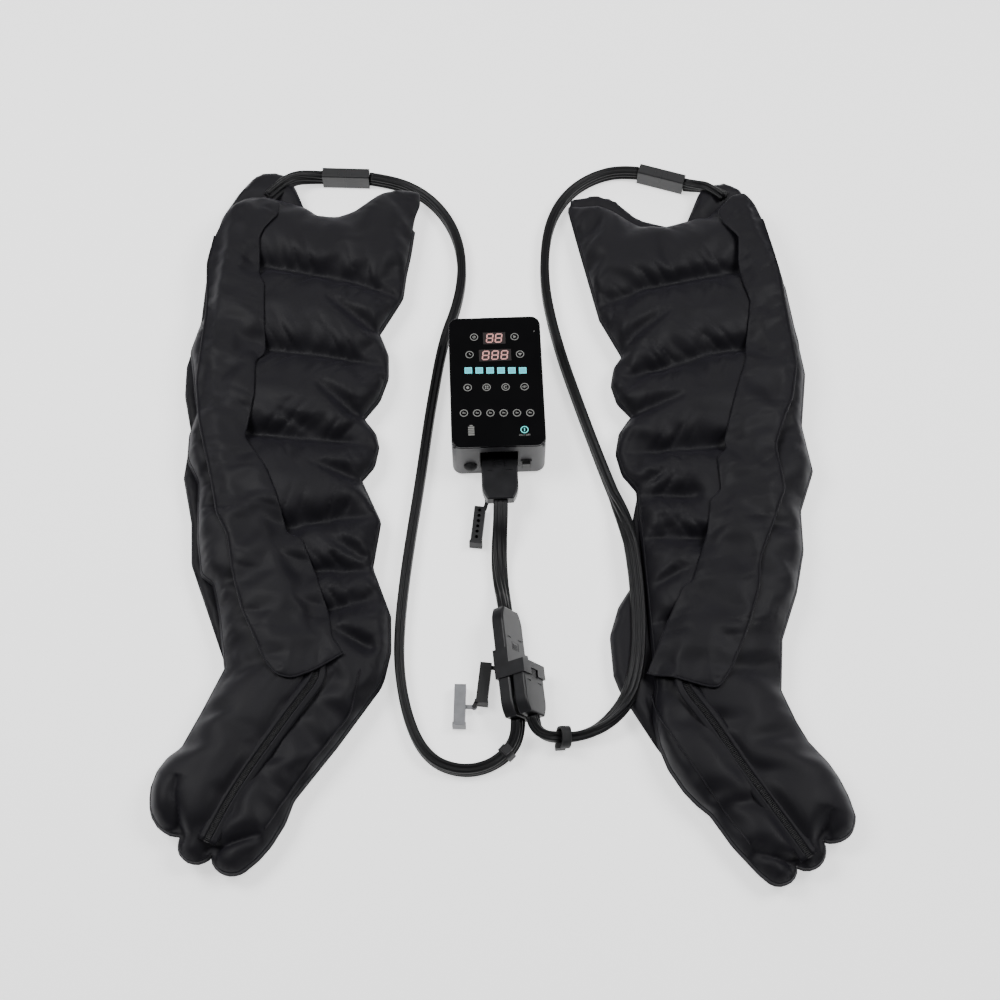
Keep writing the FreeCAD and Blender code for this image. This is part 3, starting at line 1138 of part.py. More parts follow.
# ---------------------------------------------------------------------------------------------
# Build every sub-part
# ---------------------------------------------------------------------------------------------
lower_case()
upper_case()
small_case_parts()
outlet_socket()
charging_jack()
jack_cap()
rocker_switch()
electronics()
compressor()
air_valves()
battery()
plugs()
splitter()
hoses()
strap("left_hose_strap", *vectors(LEFT_HOSE_FLOOR[0:3]))
strap("right_hose_strap", *vectors(RIGHT_HOSE_FLOOR[1:4]))
coupling("left", 1)
coupling("right", -1)
for stopper_name in STOPPERS:
    stopper(stopper_name)
leg_sleeve("left", LEFT_INNER_EDGE + LEFT_FOOT + LEFT_OUTER_EDGE + LEFT_BACK_TOP[:-1],
           LEFT_INNER_EDGE + LEFT_FOOT + LEFT_OUTER_EDGE + LEFT_FRONT_TOP[:-1],
           LEFT_WELDS, LEFT_LEG_SPACE, LEFT_FLAP, LEFT_ZIP)
leg_sleeve("right", RIGHT_INNER_EDGE + RIGHT_LOBES + RIGHT_FOOT + RIGHT_OUTER_EDGE
           + RIGHT_BACK_TOP[:-1],
           RIGHT_INNER_EDGE + RIGHT_LOBES_UNDER_HOSE + RIGHT_FOOT + RIGHT_OUTER_EDGE
           + RIGHT_FRONT_TOP[:-1],
           RIGHT_WELDS, RIGHT_LEG_SPACE, RIGHT_FLAP, RIGHT_ZIP)

doc.recompute()
for made in doc.Objects:
    if "Invalid" in made.State or "Error" in made.State:
        raise RuntimeError("%s did not build: %s" % (made.Name, made.State))
for name, made in sub_parts.items():
    if made.Shape.isNull() or not made.Shape.isValid() or made.Shape.Volume <= 0:
        raise RuntimeError("%s has no valid shape" % name)

os.makedirs("parts", exist_ok=True)
for name, made in sub_parts.items():
    made.Shape.exportStep("parts/%s.step" % name)
print("%d sub-parts written" % len(sub_parts))
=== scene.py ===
"""Compression therapy set: looks of the pump, hoses, splitter and padded leg sleeves."""
import bpy
import bmesh
import math
import numpy as np
from mathutils import Matrix, Vector, geometry
from mathutils.bvhtree import BVHTree
from mathutils.kdtree import KDTree


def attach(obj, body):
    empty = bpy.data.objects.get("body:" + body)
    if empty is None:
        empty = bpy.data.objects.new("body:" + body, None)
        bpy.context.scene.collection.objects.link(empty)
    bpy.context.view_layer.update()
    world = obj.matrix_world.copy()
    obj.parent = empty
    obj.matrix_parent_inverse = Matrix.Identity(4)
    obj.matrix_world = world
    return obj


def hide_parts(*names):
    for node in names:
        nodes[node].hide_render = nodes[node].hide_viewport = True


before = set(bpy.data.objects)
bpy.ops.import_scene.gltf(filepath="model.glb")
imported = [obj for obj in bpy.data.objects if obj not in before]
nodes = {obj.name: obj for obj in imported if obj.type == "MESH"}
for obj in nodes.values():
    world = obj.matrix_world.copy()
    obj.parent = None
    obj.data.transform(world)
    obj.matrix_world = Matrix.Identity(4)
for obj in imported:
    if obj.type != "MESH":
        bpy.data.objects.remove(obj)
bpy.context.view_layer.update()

# ---------------------------------------------------------------------------------------------
# Camera: above the near end of the set, looking down at the floor past the pump.
# ---------------------------------------------------------------------------------------------
def placed(name, data):
    """A new object in the scene, made of the given data."""
    made = bpy.data.objects.new(name, data)
    bpy.context.scene.collection.objects.link(made)
    return made


camera = placed("camera", bpy.data.cameras.new("camera"))
looking = Vector((0.0160, 0.4326, -0.9015)).normalized()
to_right = Vector((0.99932, -0.03699, 0.0))
to_right = (to_right - looking * to_right.dot(looking)).normalized()
to_top = to_right.cross(looking)
turned = Matrix((to_right, to_top, -looking)).transposed().to_4x4()
camera.matrix_world = Matrix.Translation((-0.03545, -1.0873, 1.9790)) @ turned
camera.data.lens = 59.18
camera.data.sensor_width = 36
camera.data.clip_end = 30
bpy.context.scene.camera = camera

# ---------------------------------------------------------------------------------------------
# Floor and light: a lit board on the floor, with one soft box beyond it and one on each side.
# ---------------------------------------------------------------------------------------------


def colour(code):
    """Linear colour for an sRGB hex code."""
    parts = [int(code[start:start + 2], 16) / 255 for start in (1, 3, 5)]
    return [p / 12.92 if p <= 0.04045 else ((p + 0.055) / 1.055) ** 2.4 for p in parts] + [1.0]


def add(tree, kind, inputs=None, **settings):
    """Add a node, set its properties, and set or link each of its inputs."""
    node = tree.nodes.new(kind)
    for name, value in settings.items():
        setattr(node, name, value)
    for name, value in (inputs or {}).items():
        if isinstance(value, bpy.types.NodeSocket):
            tree.links.new(value, node.inputs[name])
        else:
            node.inputs[name].default_value = value
    return node


def shader_of(name, **sockets):
    """A new material, its tree and its shader, with values set on the shader's own sockets."""
    made = bpy.data.materials.new(name)
    made.use_nodes = True
    shader = made.node_tree.nodes["Principled BSDF"]
    for socket, value in sockets.items():
        shader.inputs[socket.replace("_", " ")].default_value = value
    return made, made.node_tree, shader


def mesh_piece(name, points, faces, material, smooth=True):
    """A new object from points in metres, with its faces turned outwards."""
    mesh = bpy.data.meshes.new(name)
    mesh.from_pydata([tuple(p) for p in points], [], faces)
    work = bmesh.new()
    work.from_mesh(mesh)
    bmesh.ops.recalc_face_normals(work, faces=work.faces)
    work.to_mesh(mesh)
    work.free()
    mesh.materials.append(material)
    for face in mesh.polygons:
        face.use_smooth = smooth
    return placed(name, mesh)


def noise(tree, scale, where=None, **inputs):
    """A noise field in the object's own metres, or in other coordinates."""
    if where is None:
        where = add(tree, "ShaderNodeTexCoord").outputs["Object"]
    return add(tree, "ShaderNodeTexNoise", {"Vector": where, "Scale": scale,
                                            **inputs}).outputs["Fac"]


def mixed(tree, field, one, two):
    """A colour between two others, by a field from 0 to 1."""
    return add(tree, "ShaderNodeMix", {"Factor": field, "A": one, "B": two},
               data_type="RGBA").outputs["Result"]


# white translucent board lit from behind, as on a light table: even, with the faintest clouds
floor_board, tree, shader = shader_of("lit_white_board", Roughness=0.9, Emission_Strength=1.3)
pale = mixed(tree, noise(tree, 1.5), colour("#f2f2f2"), colour("#f5f5f5"))
tree.links.new(pale, shader.inputs["Base Color"])
tree.links.new(pale, shader.inputs["Emission Color"])
floor = mesh_piece("floor", [(x, y, -0.0004) for x, y in ((-6, -6), (6, -6), (6, 6), (-6, 6))],
                   [(0, 1, 2, 3)], floor_board)

for name, spot, width, power in (("soft_box_far", (0.2, 2.9, 1.9), 1.6, 24),
                                 ("soft_box_left", (-1.4, 0.25, 2.2), 1.1, 52),
                                 ("soft_box_right", (1.45, 0.1, 2.2), 1.1, 46)):
    lamp = bpy.data.lights.new(name, "AREA")
    lamp.size = width
    lamp.energy = power
    light = placed(name, lamp)
    light.location = spot
    light.rotation_euler = (-Vector(spot)).to_track_quat("-Z", "Y").to_euler()
room = bpy.data.worlds.new("bright_room")
bpy.context.scene.world = room
room.use_nodes = True
backdrop = room.node_tree.nodes["Background"]
backdrop.inputs["Color"].default_value = (1, 1, 1, 1)
backdrop.inputs["Strength"].default_value = 0.12

# ---------------------------------------------------------------------------------------------
# Hoses: six soft vinyl tubes of 6.4 mm, welded side by side in two rows of three, one tube for
# each air chamber. They lie on the floor on their edge, and flat where they cross a sleeve.
# ---------------------------------------------------------------------------------------------
main_route = [
    (0, -0.155, 0.033), (-0.001, -0.178, 0.029), (-0.0035, -0.204, 0.016),
    (-0.005, -0.232, 0.0098), (-0.004, -0.261, 0.0098), (-0.002, -0.281, 0.015),
    (-0.001, -0.295, 0.024), (0.00013, -0.308, 0.0278)]
left_route = [
    (0.0103, -0.4529, 0.0278), (0.01, -0.47, 0.023), (-0.001, -0.489, 0.0145),
    (-0.022, -0.504, 0.0106), (-0.047, -0.511, 0.0099), (-0.072, -0.5085, 0.0099),
    (-0.095, -0.4975, 0.0099), (-0.112, -0.477, 0.0099), (-0.124, -0.448, 0.0099),
    (-0.133, -0.409, 0.0099), (-0.1375, -0.36, 0.0099), (-0.1345, -0.306, 0.0099),
    (-0.128, -0.25, 0.0099), (-0.119, -0.19, 0.0099), (-0.109, -0.13, 0.0099),
    (-0.1, -0.07, 0.0099), (-0.0915, -0.012, 0.0099), (-0.083, 0.036, 0.0099),
    (-0.0755, 0.078, 0.0099), (-0.066, 0.117, 0.0099), (-0.053, 0.152, 0.0099),
    (-0.044, 0.19, 0.0099), (-0.0405, 0.229, 0.0099), (-0.045, 0.27, 0.0099),
    (-0.058, 0.307, 0.0099), (-0.078, 0.338, 0.0099), (-0.104, 0.362, 0.0099),
    (-0.137, 0.378, 0.011), (-0.1721, 0.3836, 0.014)]
right_route = [
    (0.028, -0.4516, 0.0389), (0.0305, -0.465, 0.034), (0.043, -0.473, 0.022),
    (0.063, -0.474, 0.0135), (0.088, -0.472, 0.011), (0.112, -0.464, 0.015),
    (0.133, -0.45, 0.025), (0.149, -0.43, 0.0286), (0.16, -0.4, 0.0286), (0.167, -0.36, 0.0286),
    (0.17, -0.315, 0.0286), (0.17, -0.265, 0.0286), (0.167, -0.219, 0.0286),
    (0.161, -0.184, 0.025), (0.152, -0.146, 0.0125), (0.14, -0.104, 0.0099),
    (0.124, -0.046, 0.0099), (0.108, 0.014, 0.0099), (0.093, 0.074, 0.0099),
    (0.0815, 0.134, 0.0099), (0.0755, 0.188, 0.0099), (0.077, 0.24, 0.0099),
    (0.085, 0.288, 0.0099), (0.101, 0.326, 0.0099), (0.126, 0.357, 0.0099), (0.16, 0.378, 0.0099),
    (0.196, 0.385, 0.0115), (0.22195, 0.37885, 0.014)]
left_tail_route = [
    (-0.2399, 0.3884, 0.014), (-0.258, 0.388, 0.0165), (-0.281, 0.38, 0.026),
    (-0.3, 0.363, 0.0296), (-0.315, 0.3425, 0.0316)]
right_tail_route = [
    (0.28605, 0.35615, 0.014), (0.303, 0.349, 0.019), (0.321, 0.339, 0.0295),
    (0.341, 0.3205, 0.0316)]
tube_radius = 0.0032

# soft vinyl, extruded: nearly black, with a low, slightly greasy sheen and long faint streaks
vinyl, tree, shader = shader_of("extruded_soft_vinyl", IOR=1.53, Specular_IOR_Level=0.18)
strip = add(tree, "ShaderNodeUVMap", uv_map="along")
# streaks 1.5 mm apart round the tubes and 60 mm long
stretch = add(tree, "ShaderNodeMapping", {"Vector": strip.outputs["UV"], "Scale": (650, 16, 1)})
streaks = noise(tree, 1.0, stretch.outputs["Vector"], Detail=3.0)


def weathered(tree, shader, field, dark, light, rough, relief=None, bump=0.0, depth=0.0):
    """Vary colour and roughness with one field, and raise a bump from another or the same."""
    shade = mixed(tree, field, colour(dark), colour(light))
    gloss = add(tree, "ShaderNodeMapRange", {"Value": field, "To Min": rough[0],
                                             "To Max": rough[1]})
    tree.links.new(shade, shader.inputs["Base Color"])
    tree.links.new(gloss.outputs["Result"], shader.inputs["Roughness"])
    if relief is not None:
        grain = add(tree, "ShaderNodeBump", {"Height": relief, "Strength": bump,
                                             "Distance": depth})
        tree.links.new(grain.outputs["Normal"], shader.inputs["Normal"])


weathered(tree, shader, streaks, "#0c0c0d", "#1a1a1c", (0.34, 0.5), streaks, 0.08, 0.0004)


def line_through(route):
    """Points along the NURBS line that has the route's points as its control points."""
    curve = bpy.data.curves.new("route", "CURVE")
    curve.dimensions = "3D"
    spline = curve.splines.new("NURBS")
    spline.points.add(len(route) - 1)
    for point, spot in zip(spline.points, route):
        point.co = (*spot, 1.0)
    spline.order_u = 3
    spline.use_endpoint_u = True
    spline.resolution_u = 12
    carrier = bpy.data.objects.new("route", curve)
    mesh = bpy.data.meshes.new_from_object(carrier)
    line = np.array([vertex.co for vertex in mesh.vertices])
    bpy.data.objects.remove(carrier)
    bpy.data.curves.remove(curve)
    bpy.data.meshes.remove(mesh)
    return line


def distances(line):
    """How far along a line each of its points is."""
    steps = np.linalg.norm(np.diff(line, axis=0), axis=1)
    return np.concatenate([[0.0], np.cumsum(steps)])


def frames(line, leans=((0, 0), (1, 0))):
    """Two axes across a line at each point: level and upward, leaning by degrees along it."""
    run = np.gradient(line, axis=0)
    run /= np.linalg.norm(run, axis=1)[:, None]
    side = np.cross(run, [0.0, 0.0, 1.0])
    side /= np.linalg.norm(side, axis=1)[:, None]
    upward = np.cross(side, run)
    share = distances(line) / distances(line)[-1]
    lean = np.radians(np.interp(share, [s for s, _ in leans], [d for _, d in leans]))[:, None]
    wide = np.cos(lean) * side + np.sin(lean) * upward
    thick = np.cos(lean) * upward - np.sin(lean) * side
    return wide, thick


def bundle_outline():
    """Outline round six tubes in two rows of three, with a groove between neighbours."""
    arcs = [((1, 1), -60, 150), ((0, 1), 30, 150), ((-1, 1), 30, 240),
            ((-1, -1), 120, 330), ((0, -1), 210, 330), ((1, -1), 210, 420)]
    ring = []
    for (column, row), start, end in arcs:
        for angle in np.radians(np.linspace(start, end, round((end - start) / 24) + 1)):
            ring.append((2 * tube_radius * column + tube_radius * math.cos(angle),
                         tube_radius * row + tube_radius * math.sin(angle)))
    return np.array(ring)


def walls(rows, count, closed=False):
    """Faces between rows of points that each go round, and from the last row to the first."""
    faces = []
    for row in range(rows if closed else rows - 1):
        low, high = row * count, (row + 1) % rows * count
        for place in range(count):
            after = (place + 1) % count
            faces.append((low + place, low + after, high + after, high + place))
    return faces


def tube(name, points, count, material):
    """A piece from rows of points that each go round, closed at both ends."""
    faces = walls(len(points) // count, count)
    faces += [tuple(range(count)), tuple(range(len(points) - count, len(points)))]
    return mesh_piece(name, points, faces, material)


def swept(name, line, ring, material, leans=((0, 0), (1, 0))):
    """Carry a closed outline along a line, close both ends, and map the surface in metres."""
    wide, thick = frames(line, leans)
    points = (line[:, None, :] + ring[None, :, :1] * wide[:, None, :]
              + ring[None, :, 1:] * thick[:, None, :]).reshape(-1, 3)
    count = len(ring)
    piece = tube(name, points, count, material)
    around = distances(np.vstack([ring, ring[:1]]))
    along = distances(line)
    layer = piece.data.uv_layers.new(name="along")
    for corner in piece.data.loops:
        row, place = divmod(corner.vertex_index, count)
        layer.data[corner.index].uv = (around[place], along[row])
    return piece


hose_lines = {}
for name, route, leans, length in (
        ("main_hose", main_route, ((0, 0), (0.25, 4), (0.8, 50), (1, 58)), 0.161),
        ("left_hose", left_route, ((0, 58), (0.06, 84), (0.12, 90), (1, 90)), 1.112),
        ("right_hose", right_route, ((0, 58), (0.04, 80), (0.09, 70), (0.16, 12), (0.2, 4),
                                     (0.34, 4), (0.42, 86), (0.5, 90), (1, 90)), 1.075),
        ("left_pigtail", left_tail_route, ((0, 90), (1, 40)), None),
        ("right_pigtail", right_tail_route, ((0, 90), (1, 40)), None)):
    line = line_through(route)
    hose_lines[name] = line
    hose = swept("six_tube_" + name, line, bundle_outline(), vinyl, leans)
    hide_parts(name)
    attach(hose, "therapy_set")

# ---------------------------------------------------------------------------------------------
# Hose straps: a moulded rubber band round each leg hose near its plug, closed by a small clip.
# ---------------------------------------------------------------------------------------------
# moulded rubber: nearly black, dull, with a fine dusty mottling
rubber, tree, shader = shader_of("moulded_rubber", IOR=1.52, Specular_IOR_Level=0.35)
# dust and mould texture about 2 mm across, drawn coarser than the real 0.3 mm so that it shows
dust = noise(tree, 480.0, Detail=4.0)
weathered(tree, shader, dust, "#101011", "#202022", (0.55, 0.72), dust, 0.15, 0.0003)


def rounded_ring(half_width, half_height, radius, steps=6):
    """A rounded rectangle's outline, counter-clockwise, centred on the origin."""
    ring = []
    for side_x, side_y, start in ((1, 1, 0), (-1, 1, 90), (-1, -1, 180), (1, -1, 270)):
        for angle in np.radians(np.linspace(start, start + 90, steps + 1)):
            ring.append((side_x * (half_width - radius) + radius * math.cos(angle),
                         side_y * (half_height - radius) + radius * math.sin(angle)))
    return np.array(ring)


def hose_band(name, line, share, lean, half_width, half_height, thickness, width, bevel,
              lift=0.0):
    """A band round a hose: its wall goes out, across, in and back, closed both ways."""
    spot = distances(line) / distances(line)[-1]
    middle = np.array([np.interp(share, spot, line[:, axis]) for axis in range(3)])
    row = int(np.searchsorted(spot, share))
    wide, thick = frames(line, ((0, lean), (1, lean)))
    wide, thick = wide[row], thick[row]
    run = np.cross(wide, thick)
    wall = [(0.0, -0.5), (thickness - bevel, -0.5), (thickness, -0.5 + bevel / width),
            (thickness, 0.5 - bevel / width), (thickness - bevel, 0.5), (0.0, 0.5)]
    points = []
    for reach, along in wall:
        ring = rounded_ring(half_width + reach, half_height + reach, half_height * 0.7 + reach)
        points += [middle + (x + lift) * wide + y * thick + along * width * run
                   for x, y in ring]
    faces = walls(len(wall), len(ring), closed=True)
    return mesh_piece(name, points, faces, rubber), middle, run


def clip_block(name, middle, run, level, size):
    """A small bevelled rubber block at a band, turned along the hose."""
    yaw = math.atan2(run[1], run[0])
    work = bmesh.new()
    bmesh.ops.create_cube(work, size=1.0)
    bmesh.ops.scale(work, vec=size, verts=work.verts)
    bmesh.ops.bevel(work, geom=list(work.edges), offset=0.0009, segments=2, affect="EDGES",
                    profile=0.6)
    bmesh.ops.transform(work, verts=work.verts,
                        matrix=Matrix.Translation((middle[0], middle[1], level))
                        @ Matrix.Rotation(yaw, 4, "Z"))
    mesh = bpy.data.meshes.new(name)
    work.to_mesh(mesh)
    work.free()
    mesh.materials.append(rubber)
    return placed(name, mesh)


left_band, middle, run = hose_band("left_strap_band", hose_lines["left_hose"], share=0.040,
                                   lean=82, half_width=0.0104, half_height=0.0072,
                                   thickness=0.0022, width=0.011, bevel=0.0006)
left_clip = clip_block("left_strap_clip", middle, run, middle[2] + 0.0138,
                       (0.012, 0.009, 0.0042))
right_band, middle, run = hose_band("right_strap_band", hose_lines["right_hose"], share=0.052,
                                    lean=76, half_width=0.0134, half_height=0.0112,
                                    thickness=0.0026, width=0.012, bevel=0.0008, lift=0.0043)
right_clip = clip_block("right_strap_clip", middle - np.array((0.004, 0.012, 0)), run,
                        middle[2] + 0.0005, (0.013, 0.007, 0.012))
for piece, node in ((left_band, "left_hose_strap"), (left_clip, "left_hose_strap"),
                    (right_band, "right_hose_strap"), (right_clip, "right_hose_strap")):
    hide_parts(node)
    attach(piece, "therapy_set")

# ---------------------------------------------------------------------------------------------
# Plugs, latches and splitter: hard black moulding with a semi-gloss skin, each hose's six tubes
# bonded in. The couplings and the socket end's fittings are the same moulding with a duller skin.
# ---------------------------------------------------------------------------------------------


def moulded(name, dark, light, rough_low, rough_high, grain_scale, bump, specular=0.5):
    """Injection-moulded plastic: flow mottling in colour and gloss over a fine mould grain."""
    made, tree, shader = shader_of(name, IOR=1.49, Specular_IOR_Level=specular)
    flow = noise(tree, 70.0, Detail=3.0)
    skin = noise(tree, grain_scale, Detail=2.0)
    weathered(tree, shader, flow, dark, light, (rough_low, rough_high), skin, bump, 0.0002)
    return made


def finish(material, *names):
    """Give carried-over solids their material."""
    for name in names:
        for slot in nodes[name].material_slots:
            slot.material = material


# ABS with a semi-gloss skin: deep black with a soft highlight along every rounded edge;
# mould grain 0.8 mm across, about twice the real one
gloss_abs = moulded("semi_gloss_black_abs", "#121214", "#1f1f22", 0.3, 0.42, 1200.0, 0.08, 0.35)
# ABS from a spark-eroded mould: black, dull and evenly grained
satin_abs = moulded("satin_black_abs", "#0e0e10", "#1a1a1c", 0.42, 0.55, 900.0, 0.15)
finish(gloss_abs, "pump_plug", "pump_plug_latch", "hub_plug", "hub_plug_latch", "left_leg_plug",
       "left_leg_plug_latch", "right_leg_plug", "right_leg_plug_latch", "splitter_block")
finish(satin_abs, "left_coupling_hose_half", "left_coupling_sleeve_half",
       "right_coupling_hose_half", "right_coupling_sleeve_half", "outlet_socket", "dc_jack",
       "rocker_bezel", "power_rocker")

# ---------------------------------------------------------------------------------------------
# Stoppers: soft rubber blocks with blind holes, which seal ports that are not in use. The first
# two are black, and the third is moulded in silver-grey silicone.
# ---------------------------------------------------------------------------------------------
# silicone with a silver pigment: mid grey, satin, with slow cloudy patches
silicone = moulded("silver_grey_silicone", "#5f6063", "#8e8f93", 0.4, 0.55, 700.0, 0.2)
finish(rubber, "stopper_1", "stopper_2", "rubber_feet", "dc_jack_cap")
finish(silicone, "stopper_3")

# ---------------------------------------------------------------------------------------------
# Pump case: a tub and a frame of very dark grey ABS, screwed together from below. Both are the
# frame's own solids, with a finer skin.
# ---------------------------------------------------------------------------------------------
# ABS in a very dark grey with a fine spark-eroded texture: soft broad highlights
case_abs = moulded("textured_grey_abs", "#19181c", "#212024", 0.4, 0.5, 900.0, 0.2)
finish(case_abs, "pump_lower_case", "pump_upper_case")

# ---------------------------------------------------------------------------------------------
# Inside the pump: board, lamps, compressor, valves, tubes and battery. The case closes them all
# in, and they are the frame's own solids, each in its own material.
# ---------------------------------------------------------------------------------------------
# rolled and plated steel: bright, with a drawn grain
steel, tree, shader = shader_of("plated_steel", Metallic=1.0)
place = add(tree, "ShaderNodeTexCoord")
drawn = add(tree, "ShaderNodeMapping", {"Vector": place.outputs["Object"],
                                        "Scale": (900, 40, 900)})
weathered(tree, shader, noise(tree, 1.0, drawn.outputs["Vector"]), "#8f9194", "#b4b6b9",
          (0.25, 0.45))
# solder-masked glass board: dark green, glossy, with darker track areas
board = moulded("solder_masked_board", "#0b3a22", "#14562f", 0.3, 0.4, 500.0, 0.1)
# natural nylon: off-white, waxy
nylon_moulding = moulded("natural_nylon_moulding", "#c9c6ba", "#dcdad0", 0.4, 0.55, 600.0, 0.1)
# heat-shrink film: blue and glossy with slight wrinkles
shrink_film = moulded("blue_shrink_film", "#153a78", "#1f4a94", 0.2, 0.35, 300.0, 0.25)
# tinted lamp housings
red_lens = moulded("red_lamp_lens", "#5c1414", "#7a1d1d", 0.1, 0.2, 500.0, 0.02)
cyan_lens = moulded("cyan_lamp_lens", "#4fb9bf", "#6fd2d6", 0.1, 0.2, 500.0, 0.02)
finish(steel, "case_screws", "compressor_body", "compressor_eccentric", "solenoid_valves")
finish(board, "control_board")
finish(nylon_moulding, "compressor_head", "valve_manifold")
finish(shrink_film, "battery_pack")
finish(red_lens, "digit_displays")
finish(cyan_lens, "zone_lamps")
finish(rubber, "air_tubes")

# ---------------------------------------------------------------------------------------------
# Touch panel: a black acrylic cover with rounded edges. Its key rings and signs are printed in an
# ink with a faint painted glow, and the digits, six zone squares and power sign shine through it
# from lamps on the board.
# ---------------------------------------------------------------------------------------------
# cast acrylic printed black behind: near mirror gloss with a few fine wipe marks
acrylic, tree, shader = shader_of("back_printed_black_acrylic", IOR=1.49,
                                  Specular_IOR_Level=0.35)
weathered(tree, shader, noise(tree, 28.0, Detail=5.0, Distortion=0.6), "#040405", "#09090b",
          (0.06, 0.16))
finish(acrylic, "touch_panel")

# the prints' underside, just inside the panel's skin, and their top
print_low, print_high = 0.07996, 0.08012


def ink(name, code, glow, spread):
    """Printed or lit mark: ink that varies a little in density, with its own light: lamp light
    where lit, a painted glow where only printed.
    """
    made, tree, shader = shader_of(name, Roughness=0.45, Emission_Strength=glow,
                                   Emission_Color=colour(code))
    thin = [c * spread for c in colour(code)[:3]] + [1.0]
    tree.links.new(mixed(tree, noise(tree, 350.0), colour(code), thin),
                   shader.inputs["Base Color"])
    return made


def ring_of(x, y, radius, count=28, start=0.0, end=360.0):
    """Points of a circle or, with start and end, of an arc."""
    full = end - start >= 360
    angles = np.radians(np.linspace(start, end, count, endpoint=not full))
    return [(x + radius * math.cos(a), y + radius * math.sin(a)) for a in angles]


def printed(name, shapes, material, high=print_high):
    """Raise flat shapes into thin closed prints. A shape is a loop, or an outer and inner loop."""
    points = []
    faces = []
    for shape in shapes:
        loops = shape if isinstance(shape[0][0], (tuple, list)) else [shape]
        base = len(points)
        count = len(loops[0])
        for loop in loops:
            points += [(x / 1000, y / 1000, print_low) for x, y in loop]
            points += [(x / 1000, y / 1000, high) for x, y in loop]
        if len(loops) == 1:
            faces.append(tuple(base + i for i in range(count)))
            faces.append(tuple(base + count + i for i in range(count)))
            pairs = [(base, base + count)]
        else:
            outer, inner = base, base + 2 * count
            for level in (0, count):
                for i in range(count):
                    j = (i + 1) % count
                    faces.append((outer + level + i, outer + level + j, inner + level + j,
                                  inner + level + i))
            pairs = [(outer, outer + count), (inner, inner + count)]
        for below, above in pairs:
            for i in range(count):
                j = (i + 1) % count
                faces.append((below + i, below + j, above + j, above + i))
    piece = mesh_piece(name, points, faces, material, smooth=False)
    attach(piece, "therapy_set")


def bar(x, y, width, height, lean=0.0):
    """An upright or leaning rectangle round a centre."""
    return [(x + w * width / 2 + h * height / 2 * lean, y + h * height / 2)
            for w, h in ((-1, -1), (1, -1), (1, 1), (-1, 1))]


def digit(x, y, width, height, lean=0.12, stroke=1.6, gap=0.3):
    """The seven bars of a lit figure 8, each with pointed ends."""
    half, shapes = stroke / 2, []
    wide, tall = width / 2 - half, height / 2 - half
    ends = [((-wide, tall), (wide, tall)), ((-wide, 0), (wide, 0)),
            ((-wide, -tall), (wide, -tall)),
            ((-wide, 0), (-wide, tall)), ((wide, 0), (wide, tall)),
            ((-wide, -tall), (-wide, 0)), ((wide, -tall), (wide, 0))]
    for (x1, y1), (x2, y2) in ends:
        length = math.hypot(x2 - x1, y2 - y1)
        ux, uy = (x2 - x1) / length, (y2 - y1) / length
        outline = [(gap, 0), (gap + half, -half), (length - gap - half, -half), (length - gap, 0),
                   (length - gap - half, half), (gap + half, half)]
        turned = [(x1 + a * ux - b * uy, y1 + a * uy + b * ux) for a, b in outline]
        shapes.append([(x + a + b * lean, y + b) for a, b in turned])
    return shapes


# screen-printed light grey ink, with a faint painted glow of its own though no lamp lies behind it
glowing_print_ink = ink("screen_printed_grey_ink", "#82827f", 0.1, 0.85)
key_spots = {"mode": (-27.7, 68.2), "play": (26.8, 66.9), "clock": (-34.5, 41.1),
             "down": (33.0, 39.4), "diamond": (-38.4, -9.4), "grid": (-13.3, -9.8),
             "turn": (11.8, -10.3), "wave": (36.9, -10.7)}
key_shapes = []
for x, y in key_spots.values():
    key_shapes.append([ring_of(x, y, 5.5), ring_of(x, y, 4.5)])
x, y = key_spots["mode"]
key_shapes.append([ring_of(x, y, 2.0), ring_of(x, y, 1.1)])
x, y = key_spots["play"]
key_shapes.append([(x - 1.5, y - 2.3), (x + 2.4, y), (x - 1.5, y + 2.3)])
x, y = key_spots["clock"]
key_shapes += [bar(x, y + 1.0, 0.9, 2.9), bar(x + 0.9, y - 0.2, 2.2, 0.9)]
x, y = key_spots["down"]
key_shapes.append([(x, y - 2.3), (x + 2.5, y + 1.6), (x - 2.5, y + 1.6)])
x, y = key_spots["diamond"]
key_shapes.append([(x, y - 2.4), (x + 2.4, y), (x, y + 2.4), (x - 2.4, y)])
x, y = key_spots["grid"]
key_shapes += [bar(x + a, y + b, 1.9, 1.9) for a in (-1.4, 1.4) for b in (-1.4, 1.4)]
x, y = key_spots["turn"]
key_shapes.append(ring_of(x, y, 2.6, 18, 30, 330) + ring_of(x, y, 1.6, 18, 30, 330)[::-1])
x, y = key_spots["wave"]
key_shapes += [bar(x - 2.0 + 2.0 * i, y, 1.1, 2.2 + 1.6 * (i % 2), 0.35) for i in range(3)]
for index in range(6):
    x = -44.5 + index * 17.44
    y = -47.6 - index * 0.56
    key_shapes.append([ring_of(x, y, 5.4), ring_of(x, y, 4.3)])
    key_shapes.append(bar(x, y, 4.2, 1.1))
    key_shapes.append(bar(x - 0.9, y + 1.4, 1.0, 1.0))
x, y = -35.6, -74.0
key_shapes += [bar(x, y - 6.2 + 2.75 * i, 8.0, 1.7) for i in range(5)]
key_shapes.append(bar(x, y + 7.2, 4.0, 1.6))
key_shapes.append(ring_of(53.4, 74.6, 0.7, 12))
printed("key_rings_and_signs", key_shapes, glowing_print_ink)

# seven-bar lamps behind the panel: warm pink figures in windows of dark red film
digit_glow = ink("lit_digit_film", "#c98f8a", 0.6, 0.9)
halo_film = ink("dim_red_display_film", "#120203", 0.06, 0.6)
digits = digit(-6.6, 65.7, 9.6, 14.2) + digit(5.2, 65.5, 9.6, 14.2)
for x in (-12.9, -0.4, 12.1):
    digits += digit(x, 39.1, 9.6, 14.2)
printed("lit_digits", digits, digit_glow)
printed("digit_windows", [bar(-0.6, 65.6, 30, 18), bar(-0.4, 39.1, 43, 18)], halo_film,
        print_high - 0.00006)

